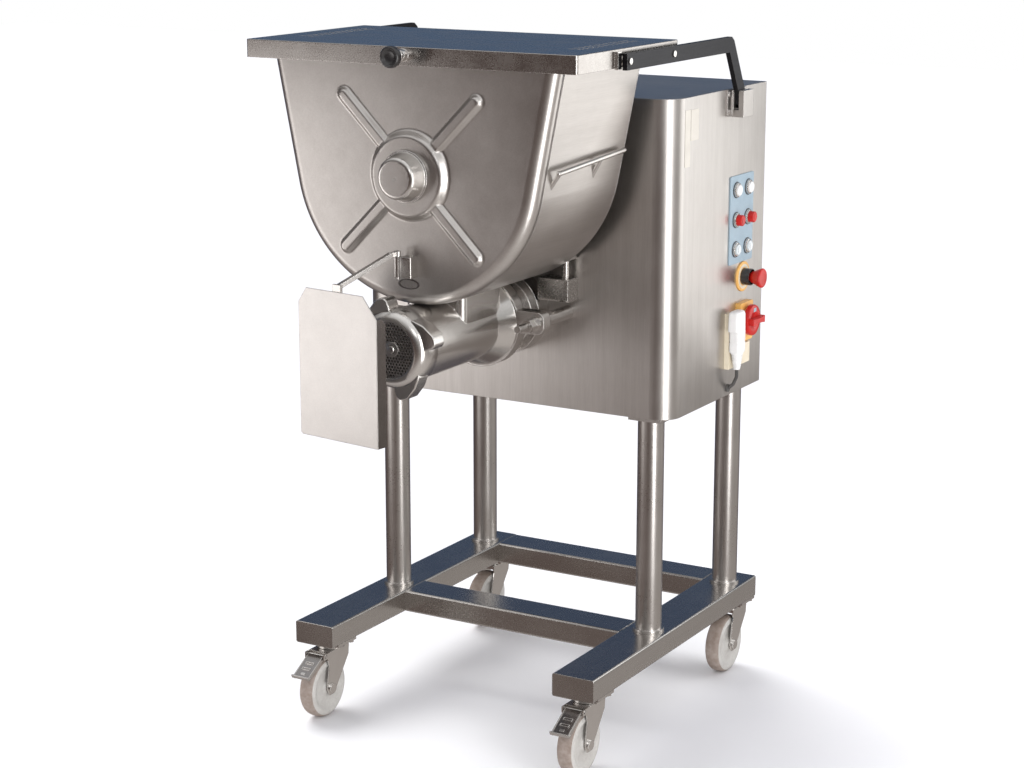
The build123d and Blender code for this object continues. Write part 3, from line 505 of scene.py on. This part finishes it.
button_looks = {
    "white": ("white", "white_plastic"),
    "red": ("red", "red_plastic"),
    "clear": ("lens", "clear_lens"),
}
BEZEL = closed([(0, 15), (3.4, 15), (5.0, 14.5), (6.0, 13.2), (6.0, 12.4), (5.2, 11.6), (0, 11.6)])
GASKET = closed([(0, 16.6), (0.9, 16.6), (1.2, 16.2), (1.2, 15.0), (0, 15.0)])
CAP_R = 11.2
plate_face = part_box("control_plate")[1].x
bezels = bmesh.new()
gaskets = bmesh.new()
for colour, (look, slot_name) in button_looks.items():
    for side in ("front", "rear"):
        node_name = f"button_{colour}_{side}"
        lo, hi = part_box(node_name)
        centre = middle(node_name)
        tall = (hi.x - lo.x) * 1000
        turned(f"{node_name}_cap", [
            (0, 0), (0, CAP_R), (tall - 2.6, CAP_R), (tall - 1.2, 10.9), (tall - 0.35, 10.0),
            (tall, 8.6), (tall - 0.1, 7.4), (tall - 0.7, 5.0), (tall - 0.9, 0)],
            "x", (lo.x, centre.y, centre.z), look, node_name, [node_name], 48)
        lathe(bezels, profile_mm(BEZEL), "x", (plate_face, centre.y, centre.z), 48)
        lathe(gaskets, profile_mm(GASKET), "x", (plate_face, centre.y, centre.z), 48)
link(to_mesh(bezels, "push_button_bezels"), "push_button_bezels", "polished", "frame",
     ["button_bezels"])
link(to_mesh(gaskets, "push_button_gaskets"), "push_button_gaskets", "black_plastic",
     "frame")

stop_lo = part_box("estop_button")[0]
stop_at = Vector((stop_lo.x, middle("estop_button").y, middle("estop_button").z))
turned("estop_mushroom", [
    (0, 0), (0, 8), (12.5, 8), (12.7, 10.8), (13.4, 12.0), (17, 13.2), (22, 15.2), (27, 17.6), (31, 19.3),
    (33.6, 20), (35.4, 19.8), (36.9, 18.6), (37.6, 16.6), (37.3, 13.0), (37.7, 8.0), (38, 5), (38, 0)],
    "x", stop_at, "red", "estop", ["estop_button"])
base_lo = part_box("estop_base")[0]
base_at = Vector((base_lo.x, stop_at.y, stop_at.z))
turned("estop_disc", closed([(0, 31), (2.4, 31), (3.2, 30.3), (3.5, 29.2), (3.5, 17.2), (0, 17.2)]),
       "x", base_at, "yellow", "frame", ["estop_base"])
turned("estop_ring", closed([(3.4, 25.5), (3.9, 25.2), (4.1, 24.4), (4.1, 20.4), (3.9, 19.6), (3.4, 19.2)]),
       "x", base_at, "cream", "frame")
turned("estop_collar",
       closed([(3.0, 17.2), (20.6, 17.2), (21.8, 16.7), (22.0, 16.2), (22.0, 15.9), (15, 15.7), (15, 9.0),
               (3.0, 9.0)]),
       "x", base_at, "black_plastic", "frame")

DISC_FACE = 0.0105
GRIP_HALF_HEIGHT = 0.0075
iso_lo, iso_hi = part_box("isolator_knob")
iso_mid = middle("isolator_knob")
turned("isolator_disc", [
    (0, 0), (0, 30.8), (1.0, 32), (7.6, 32), (10.2, 31), (11.7, 28.4), (11.7, 17), (10.9, 15.5), (10.9, 0)],
    "x", (iso_lo.x, iso_mid.y, iso_mid.z), "red", "isolator", ["isolator_knob"])


BOX_CUTS = 8


def rounded_box(name, lo, hi, look, body, width, replaced=(), waist=0.0):
    """A box with real rounded edges and, when waist is set, sides pinched in at the middle."""
    bm = bmesh.new()
    bmesh.ops.create_cube(bm, size=1.0)
    bmesh.ops.subdivide_edges(bm, edges=bm.edges[:], cuts=BOX_CUTS, use_grid_fill=True)
    lo, hi = Vector(lo), Vector(hi)
    size, mid = hi - lo, (lo + hi) / 2
    for v in bm.verts:
        across = 1 - waist * (1 - (2 * v.co.y) ** 2) if waist else 1.0
        v.co = Vector((v.co.x * size.x, v.co.y * size.y, v.co.z * size.z * across)) + mid
    return bevelled(link(to_mesh(bm, name), name, look, body, replaced), width, 4, 50)


rounded_box("isolator_grip", (iso_lo.x + DISC_FACE, iso_lo.y + 0.004, iso_mid.z - GRIP_HALF_HEIGHT),
            (iso_hi.x, iso_hi.y - 0.004, iso_mid.z + GRIP_HALF_HEIGHT),
            "red", "isolator", 0.0028, waist=0.3)
rounded_box("isolator_window", (iso_lo.x + DISC_FACE, iso_mid.y - 0.006, iso_mid.z + 0.0175),
            (iso_lo.x + 0.0122, iso_mid.y + 0.006, iso_mid.z + 0.0255),
            "blue", "isolator", 0.0006)
box_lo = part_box("isolator_box")[0]
rounded_box("isolator_tab", (box_lo.x + 0.0115, box_lo.y + 0.003, iso_mid.z - 0.006),
            (box_lo.x + 0.0128, box_lo.y + 0.011, iso_mid.z + 0.001),
            "red", "frame", 0.0005)


def loft(bm, sections, steps=48):
    """Superellipse sections stacked up Z: (z, centre x, centre y, half x, half y, squareness)."""
    rings = []
    for z, cx, cy, hx, hy, power in sections:
        ring = []
        for i in range(steps):
            a = math.tau * i / steps
            c, d = math.cos(a), math.sin(a)
            x = math.copysign(abs(c) ** (2 / power), c) * hx
            y = math.copysign(abs(d) ** (2 / power), d) * hy
            ring.append(bm.verts.new((cx + x, cy + y, z)))
        rings.append(ring)
    for a, b in zip(rings, rings[1:]):
        for i in range(steps):
            j = (i + 1) % steps
            bm.faces.new((a[i], a[j], b[j], b[i]))
    bm.faces.new(list(reversed(rings[0])))
    bm.faces.new(rings[-1])


plug_lo, plug_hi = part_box("connector_plug")
plug_x = (plug_lo.x + plug_hi.x) / 2
body_y, hood_y = plug_lo.y + 0.0255, plug_lo.y + 0.0215
base_z = plug_lo.z
RIB_STEPS, RIB_PITCH, RIB_GROWTH = 8, 0.0036, 0.0009
BODY_HALF = (0.0117, 0.0181)
NECK_HALF = (0.0110, 0.0174)
sections = [(base_z, plug_x, body_y, 0.0065, 0.0075, 2.2)]
for i in range(RIB_STEPS):
    z = base_z + 0.0025 + i * RIB_PITCH
    grow = i * RIB_GROWTH
    for dz, dr in ((0.0, 0.0), (0.0006, 0.0008), (0.0018, 0.0008), (0.0024, 0.0)):
        sections.append((z + dz, plug_x, body_y, 0.0066 + grow * 0.45 + dr, 0.0078 + grow + dr, 2.3))
sections += [
    (base_z + 0.0335, plug_x, body_y, 0.0104, 0.0160, 3.0),
    (base_z + 0.0365, plug_x, body_y, 0.0114, 0.0176, 4.5),
    (base_z + 0.0390, plug_x, body_y, *BODY_HALF, 5.5),
    (base_z + 0.0560, plug_x, body_y, *BODY_HALF, 5.5),
    (base_z + 0.0570, plug_x, body_y, *NECK_HALF, 5.5),
    (base_z + 0.0595, plug_x, body_y, *NECK_HALF, 5.5),
    (base_z + 0.0605, plug_x, body_y, *BODY_HALF, 5.5),
    (base_z + 0.0790, plug_x, body_y, *BODY_HALF, 5.5),
    (base_z + 0.0805, plug_x, hood_y, 0.0118, 0.0210, 5.5),
    (base_z + 0.0820, plug_x, hood_y, 0.0119, 0.0214, 5.5),
    (base_z + 0.1140, plug_x, hood_y, 0.0116, 0.0212, 5.0),
    (base_z + 0.1190, plug_x, hood_y, 0.0106, 0.0198, 4.5),
    (base_z + 0.1214, plug_x, hood_y, 0.0086, 0.0170, 4.0),
    (base_z + 0.1220, plug_x, hood_y, 0.0060, 0.0140, 4.0),
]
plug = bmesh.new()
loft(plug, sections)
link(to_mesh(plug, "connector_plug_shell"), "connector_plug_shell", "white", "frame",
     ["connector_plug"], sharp=45)

ring_lo, ring_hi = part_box("ring_nut")
ring_at = Vector(((ring_lo.x + ring_hi.x) / 2, ring_lo.y, (ring_lo.z + ring_hi.z) / 2))
turned("ring_nut_body", closed([
    (0.6, 53.3), (0.0, 54.4), (0.0, 56.0), (0.9, 59.5), (3.2, 64.4), (6.8, 68.6), (11.5, 71.8), (17.5, 74.2),
    (24.0, 75.6), (31.0, 76.0), (50.5, 76.0), (53.0, 75.2), (54.0, 73.4), (54.0, 70.4), (12.2, 70.4),
    (12.2, 53.3)]), "y", ring_at, "cast", "ring", ["ring_nut"], 128, 40)
LUG_OUTLINE = [(70.5, 40), (76.5, 36), (86.0, 21), (96.4, 6), (97.0, 0), (96.2, -5), (90.0, -9), (78.0, -11),
               (70.5, -12), (70.5, 14)]
LUG_COUNT, FIRST_LUG = 4, 15
LUG_FROM, LUG_TO = 0.010, 0.046


def lug(bm, tip):
    """One lug of the ring nut, its tip at an angle in degrees. The outline is (radius in mm, degrees)."""
    turned_outline = [(r, math.radians(tip + turn)) for r, turn in LUG_OUTLINE]
    flat = [(ring_at.x + r * math.cos(a) / 1000, ring_at.z + r * math.sin(a) / 1000)
            for r, a in turned_outline]
    near = [bm.verts.new((x, ring_at.y + LUG_FROM, z)) for x, z in flat]
    far = [bm.verts.new((x, ring_at.y + LUG_TO, z)) for x, z in flat]
    bm.faces.new(near)
    bm.faces.new(list(reversed(far)))
    for i in range(len(flat)):
        j = (i + 1) % len(flat)
        bm.faces.new((near[j], near[i], far[i], far[j]))


lugs = bmesh.new()
for k in range(LUG_COUNT):
    lug(lugs, FIRST_LUG + 360 // LUG_COUNT * k)
bevelled(link(to_mesh(lugs, "ring_nut_lugs"), "ring_nut_lugs", "cast", "ring"),
         0.0030, 4, 40)


# ---------------------------------------------------------------- outlet plate with its holes
plate_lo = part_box("hole_plate")[0]
plate_mid = middle("hole_plate")
plate_at = (plate_mid.x, plate_lo.y, plate_mid.z)
HOLE_PITCH, HOLE_R, HOLE_DEPTH = 0.0064, 0.0024, 0.006
HOLES_FROM_R, HOLES_TO_R, FACE_R = 0.0155, 0.0505, 0.0545
FACE_INSET = 0.0006
ROWS = 9


def hex_cell(bm, cx, cz, y, hollow):
    """One hexagonal cell of the plate's face, with a bored hole when hollow."""
    reach = HOLE_PITCH / math.sqrt(3)
    rim = [bm.verts.new((cx + reach * math.cos(math.radians(30 + 60 * i)), y,
                         cz + reach * math.sin(math.radians(30 + 60 * i)))) for i in range(6)]
    if not hollow:
        bm.faces.new(rim)
        return
    turn = [math.radians(30 + 30 * i) for i in range(12)]
    mouth = [bm.verts.new((cx + HOLE_R * math.cos(a), y, cz + HOLE_R * math.sin(a))) for a in turn]
    floor = [bm.verts.new((v.co.x, y + HOLE_DEPTH, v.co.z)) for v in mouth]
    for i in range(6):
        a, b = rim[i], rim[(i + 1) % 6]
        m0, m1, m2 = mouth[2 * i], mouth[2 * i + 1], mouth[(2 * i + 2) % 12]
        bm.faces.new((a, m1, m0))
        bm.faces.new((a, b, m1))
        bm.faces.new((b, m2, m1))
    for i in range(12):
        j = (i + 1) % 12
        bm.faces.new((mouth[i], mouth[j], floor[j], floor[i]))
    bm.faces.new(floor)


holes = bmesh.new()
for row in range(-ROWS, ROWS + 1):
    for column in range(-ROWS, ROWS + 1):
        cx = (column + 0.5 * (row % 2)) * HOLE_PITCH
        cz = row * HOLE_PITCH * math.sqrt(3) / 2
        from_hub = math.hypot(cx, cz)
        if from_hub < FACE_R:
            hex_cell(holes, plate_mid.x + cx, plate_mid.z + cz, plate_lo.y + FACE_INSET,
                     HOLES_FROM_R < from_hub < HOLES_TO_R)
link(to_mesh(holes, "hole_plate_face"), "hole_plate_face", "plate", "frame",
     ["hole_plate"])
turned("hole_plate_rim",
       closed([(0.2, 52.6), (0.0, 53.2), (0.0, 61.2), (0.5, 61.7), (12.0, 61.7), (12.0, 52.6)]),
       "y", plate_at, "plate", "frame")
turned("hole_plate_hub",
       closed([(0.6, 15.4), (-2.0, 14.4), (-2.6, 13.2), (-2.6, 9.4), (-1.8, 8.4), (6.0, 8.4), (6.0, 15.4)]),
       "y", plate_at, "satin", "frame")
turned("feed_screw_nose", [(6.0, 0), (6.0, 7.9), (-4.6, 7.9), (-6.0, 7.0), (-6.8, 5.0), (-7.0, 0)],
       "y", plate_at, "polished", "feed_screw")

# ---------------------------------------------------------------- outlet guard
guard_lo, guard_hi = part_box("guard_plate")
GUARD_TURN = math.radians(-8.44)
GUARD_W, GUARD_T, GUARD_SKIRT = 0.194, 0.002, 0.025
GUARD_CORNER_X, GUARD_CORNER_Z = 0.033, 0.040
SEAM_GAP = 0.0005
along = Vector((math.cos(GUARD_TURN), math.sin(GUARD_TURN), 0))
back = Vector((-along.y, along.x, 0))
guard_at = Vector((guard_lo.x, guard_lo.y - along.y * GUARD_W, 0))
guard_h = guard_hi.z - guard_lo.z


def slab(bm, outline, depth, place):
    """A flat outline (u, v) given a thickness and put in place by place(u, v, w)."""
    near = [bm.verts.new(place(u, v, 0.0)) for u, v in outline]
    far = [bm.verts.new(place(u, v, depth)) for u, v in outline]
    bm.faces.new(near)
    bm.faces.new(list(reversed(far)))
    for i in range(len(outline)):
        j = (i + 1) % len(outline)
        bm.faces.new((near[j], near[i], far[i], far[j]))


def guard_place(u, v, w):
    return guard_at + along * u + back * w + Vector((0, 0, guard_lo.z + v))


guard_outline = [
    (0.004, 0), (GUARD_W, 0), (GUARD_W, guard_h - GUARD_CORNER_Z), (GUARD_W - GUARD_CORNER_X, guard_h),
    (0.020, guard_h), (0.0, guard_h - 0.028), (0.0, 0.004),
]
skirt_top = guard_h - GUARD_CORNER_Z - SEAM_GAP
skirt_outline = [
    (0.0004, 0.0003), (GUARD_SKIRT, 0.0003), (GUARD_SKIRT, guard_h - 0.052),
    (GUARD_SKIRT - 0.010, skirt_top), (0.0004, skirt_top),
]
guard_mesh = bmesh.new()
slab(guard_mesh, guard_outline, GUARD_T, guard_place)
bevelled(link(to_mesh(guard_mesh, "guard_sheet"), "guard_sheet", "guard", "guard",
              ["guard_plate"]), 0.0008, 3, 30)
skirt_mesh = bmesh.new()
slab(skirt_mesh, skirt_outline, GUARD_T, lambda u, v, w: guard_place(GUARD_W - GUARD_T + w, v, u))
# the skirt gets the darkened steel: a painted dark reflection
bevelled(link(to_mesh(skirt_mesh, "guard_skirt"), "guard_skirt", "guard_skirt_painted_reflection", "guard"),
         0.0006)

# ---------------------------------------------------------------- brake pedals
# sizes in millimetres: X across, Y along the pedal from its pivot (minus is outwards), Z off its plane
PEDAL_SLOPE = math.radians(30)
PIVOT_INSET, PIVOT_DROP, PLANE_RISE = 0.003, 0.0044, 0.0008
TREAD_HALF, TREAD_BOTTOM, TREAD_TOP = 16.6, 0.2, 1.9
LOOP_FOOT, LOOP_TOP, LOOP_BAR = 1.7, 3.5, 1.6
LOOP_YS = (-28.0, -43.0)


def brake_pedal(tag):
    """Dark tread plate in a bright folded frame, with two raised grip loops."""
    body = f"brake_{tag}"
    lo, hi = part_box(f"caster_{tag}_brake")
    pivot = Vector(((lo.x + hi.x) / 2, hi.y - PIVOT_INSET, hi.z - PIVOT_DROP))

    def place(x, y, z):
        x, y, z = mm(x, y, z)
        return pivot + Vector((x, y * math.cos(PEDAL_SLOPE) - z * math.sin(PEDAL_SLOPE),
                               PLANE_RISE + y * math.sin(PEDAL_SLOPE) + z * math.cos(PEDAL_SLOPE)))

    def block(bm, x0, x1, y0, y1, z0, z1):
        slab(bm, [(x0, y0), (x1, y0), (x1, y1), (x0, y1)], 1.0,
             lambda u, v, w: place(u, v, z0 + (z1 - z0) * w))

    tread = bmesh.new()
    block(tread, -TREAD_HALF, TREAD_HALF, -65, -2, TREAD_BOTTOM, TREAD_TOP)
    bevelled(link(to_mesh(tread, f"{body}_tread"), f"{body}_tread", "pedal", body,
                  [f"caster_{tag}_brake"]), 0.0005)
    grip = bmesh.new()
    for y in LOOP_YS:
        for dy in (-3.4, 1.8):
            block(grip, -10, 10, y + dy, y + dy + LOOP_BAR, LOOP_FOOT, LOOP_TOP)
        for dx in (-10.2, 8.6):
            block(grip, dx, dx + LOOP_BAR, y - 3.4, y + 3.4, LOOP_FOOT, LOOP_TOP)
    block(grip, -5, 5, -59, -53, LOOP_FOOT, 2.9)
    bevelled(link(to_mesh(grip, f"{body}_grips"), f"{body}_grips", "polished", body),
             0.0004)
    edge = bmesh.new()
    for x0 in (-19, 16.4):
        block(edge, x0, x0 + 2.6, -66, 0, -6, 2.6)
    block(edge, -21, 21, -68.4, -65, -1.5, 6.0)
    block(edge, -21, 21, -68.6, -60, -1.5, 0.4)
    bevelled(link(to_mesh(edge, f"{body}_frame"), f"{body}_frame", "satin", body),
             0.0007)
    turned(f"{body}_pin", [(-23.5, 0), (-23.5, 2.6), (-23.1, 3), (23.1, 3), (23.5, 2.6), (23.5, 0)], "x",
           (pivot.x, pivot.y, pivot.z), "polished", body, steps=32)


for tag in ("fl", "fr"):
    brake_pedal(tag)

# ---------------------------------------------------------------- blank labels and badge
label_lo, label_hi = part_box("blank_labels")
# each film is (start behind the labels' front edge, end, bottom above the taller label's foot, top)
FILMS = ((0.0, 0.023, 0.0, 0.110), (0.025, 0.059, 0.049, 0.109))
FILM_T = 0.0006
LABELS_BEHIND, LABELS_TALL = 0.047, 0.110
films = bmesh.new()
for y0, y1, z0, z1 in FILMS:
    y_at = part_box("cabinet_shell")[0].y + LABELS_BEHIND + y0
    z_at = label_hi.z - LABELS_TALL + z0
    slab(films, [(0, 0), (y1 - y0, 0), (y1 - y0, z1 - z0), (0, z1 - z0)], FILM_T,
         lambda u, v, w: (label_hi.x - FILM_T + w, y_at + u, z_at + v))
bevelled(link(to_mesh(films, "blank_label_films"), "blank_label_films", "label", "frame",
              ["blank_labels"]), 0.0002)


BADGE_HALF_W, BADGE_HALF_H = 0.024, 0.010


def oval(name, profile, look):
    """A lathe piece at the badge, flattened from a circle to the badge's oval."""
    bm = bmesh.new()
    at = Vector((label_lo.x + BADGE_HALF_W, label_lo.y, label_lo.z + BADGE_HALF_H))
    lathe(bm, profile_mm(profile), "y", at, 64)
    for v in bm.verts:
        v.co.z = at.z + (v.co.z - at.z) * BADGE_HALF_H / BADGE_HALF_W
    link(to_mesh(bm, name), name, look, "frame")


oval("badge_rim", closed([(1.2, 24), (0.3, 23.8), (0.0, 22.6), (0.0, 19.6), (0.3, 18.6), (1.2, 18.6)]),
     "dark")
oval("badge_face", [(0.7, 0), (0.7, 18.8), (1.2, 18.8)], "satin")


# ---------------------------------------------------------------- stage, world and lights
FLOOR_HALF, FLOOR_Z = 14.0, -0.0004


def make_floor():
    """A wide sheet of pale studio paper, just under the wheels."""
    bm = bmesh.new()
    corners = ((-1, -1), (1, -1), (1, 1), (-1, 1))
    bm.faces.new([bm.verts.new((FLOOR_HALF * x, FLOOR_HALF * y, FLOOR_Z)) for x, y in corners])
    mesh = bpy.data.meshes.new("floor")
    bm.to_mesh(mesh)
    bm.free()
    floor = bpy.data.objects.new("floor", mesh)
    bpy.context.scene.collection.objects.link(floor)
    s = Shader("floor_paper")
    cloud = s.noise(s.position((1, 1, 1)), 1.5)
    tone = s.mix(s.span(cloud, 0.3, 0.7), (0.86, 0.86, 0.87), (0.89, 0.89, 0.89))
    s.link(tone, s.bsdf.inputs["Base Color"])
    s.bsdf.inputs["Roughness"].default_value = 0.9
    s.bsdf.inputs["Specular IOR Level"].default_value = 0.1
    mesh.materials.append(s.mat)
    floor.visible_glossy = False


make_floor()


def ramp(tree, factor, stops):
    node = tree.nodes.new("ShaderNodeValToRGB")
    elements = node.color_ramp.elements
    while len(elements) > 1:
        elements.remove(elements[-1])
    elements[0].position = stops[0][0]
    elements[0].color = (*stops[0][1], 1)
    for position, colour in stops[1:]:
        element = elements.new(position)
        element.color = (*colour, 1)
    tree.links.new(factor, node.inputs["Fac"])
    return node.outputs["Color"]


def make_world():
    """White to the camera, grey to matt surfaces, and tinted elevation ramps in reflections."""
    world = bpy.data.worlds.new("studio")
    bpy.context.scene.world = world
    world.use_nodes = True
    world.cycles.sampling_method = "NONE"
    s = Shader.__new__(Shader)
    s.tree = world.node_tree
    s.mat = world
    s.bsdf = None
    s.tree.nodes.clear()
    coord = s.add("ShaderNodeTexCoord")
    split = s.add("ShaderNodeSeparateXYZ")
    s.link(coord.outputs["Generated"], split.inputs["Vector"])
    up = s.math("ADD", s.math("MULTIPLY", split.outputs["Z"], 0.5), 0.5)
    # elevation ramps: 0.5 is the horizon
    front = ramp(s.tree, up, [
        (0.00, (0.55, 0.51, 0.49)), (0.20, (0.45, 0.41, 0.39)), (0.31, (0.17, 0.13, 0.115)),
        (0.42, (0.085, 0.058, 0.05)), (0.50, (0.07, 0.048, 0.042)), (0.62, (0.10, 0.085, 0.085)),
        (0.80, (0.55, 0.54, 0.53)), (1.0, (1.1, 1.1, 1.1))])
    back = ramp(s.tree, up, [
        (0.00, (0.16, 0.13, 0.12)), (0.42, (0.07, 0.07, 0.09)), (0.50, (0.085, 0.15, 0.25)),
        (0.56, (0.085, 0.15, 0.26)), (0.64, (0.062, 0.088, 0.15)), (0.74, (0.05, 0.065, 0.10)),
        (0.88, (0.25, 0.27, 0.30)), (1.0, (0.9, 0.9, 0.9))])
    right = ramp(s.tree, up, [
        (0.00, (0.62, 0.58, 0.55)), (0.28, (0.55, 0.51, 0.48)), (0.38, (0.32, 0.29, 0.27)),
        (0.48, (0.40, 0.39, 0.375)), (0.60, (0.44, 0.44, 0.43)), (0.80, (0.8, 0.8, 0.8)),
        (1.0, (1.0, 1.0, 1.0))])
    y_mask = s.span(split.outputs["Y"], -0.25, 0.45, smooth=True)
    glossy = s.mix(y_mask, front, back)
    x_mask = s.span(split.outputs["X"], 0.0, 0.45, smooth=True)
    rear_right = s.math("MULTIPLY", x_mask, s.span(split.outputs["Y"], -1.05, -0.45, smooth=True))
    glossy = s.mix(rear_right, glossy, right)
    path = s.add("ShaderNodeLightPath")
    plain = s.mix(path.outputs["Is Camera Ray"], (0.60, 0.60, 0.65), (1.0, 1.0, 1.0))
    colour = s.mix(path.outputs["Is Glossy Ray"], plain, glossy)
    background = s.add("ShaderNodeBackground")
    background.inputs["Strength"].default_value = 1.0
    s.link(colour, background.inputs["Color"])
    output = s.add("ShaderNodeOutputWorld")
    s.link(background.outputs["Background"], output.inputs["Surface"])


make_world()


def area_light(name, at, target, size, watts, colour=(1, 1, 1)):
    data = bpy.data.lights.new(name, "AREA")
    data.shape = "RECTANGLE"
    data.size, data.size_y = size
    data.energy = watts
    data.color = colour
    obj = bpy.data.objects.new(name, data)
    bpy.context.scene.collection.objects.link(obj)
    obj.location = at
    obj.rotation_euler = (Vector(target) - Vector(at)).to_track_quat("-Z", "Y").to_euler()
    return obj


def sun(direction, angle, strength):
    """The soft key light. The direction points from the object to it."""
    data = bpy.data.lights.new("sky_light", "SUN")
    data.energy = strength
    data.angle = math.radians(angle)
    obj = bpy.data.objects.new("sky_light", data)
    bpy.context.scene.collection.objects.link(obj)
    obj.rotation_euler = Vector(direction).to_track_quat("Z", "Y").to_euler()
    obj.visible_glossy = False


def card(name, at, normal, size, radiance, colour=(1, 1, 1)):
    """A soft reflector close to the object, given by the brightness it shows."""
    watts = radiance * math.pi * size[0] * size[1]
    at = Vector(at)
    obj = area_light(name, at, at + Vector(normal), size, watts, colour)
    obj.visible_camera = False
    return obj


sun((-0.52, 0.16, 0.84), 44, 2.35)
card("front_left_card", (-1.55, -1.42, 0.66), (0.5, 0.86, 0.05), (1.2, 1.05), 1.7, (1.0, 0.98, 0.965))
card("front_low_card", (-0.80, -1.85, 0.22), (0.25, 0.95, 0.3), (1.6, 0.42), 0.35, (1.0, 0.98, 0.965))
card("right_card", (1.22, 1.12, 1.10), (-0.5, -0.84, 0.1), (0.9, 1.1), 1.5, (1.0, 1.0, 0.985))
card("front_right_card", (1.70, -0.80, 0.90), (-0.84, 0.5, 0.0), (0.60, 1.9), 4.8)
card("high_front_card", (1.5, -2.4, 2.4), (-0.5, 0.75, -0.5), (1.1, 0.8), 1.7)
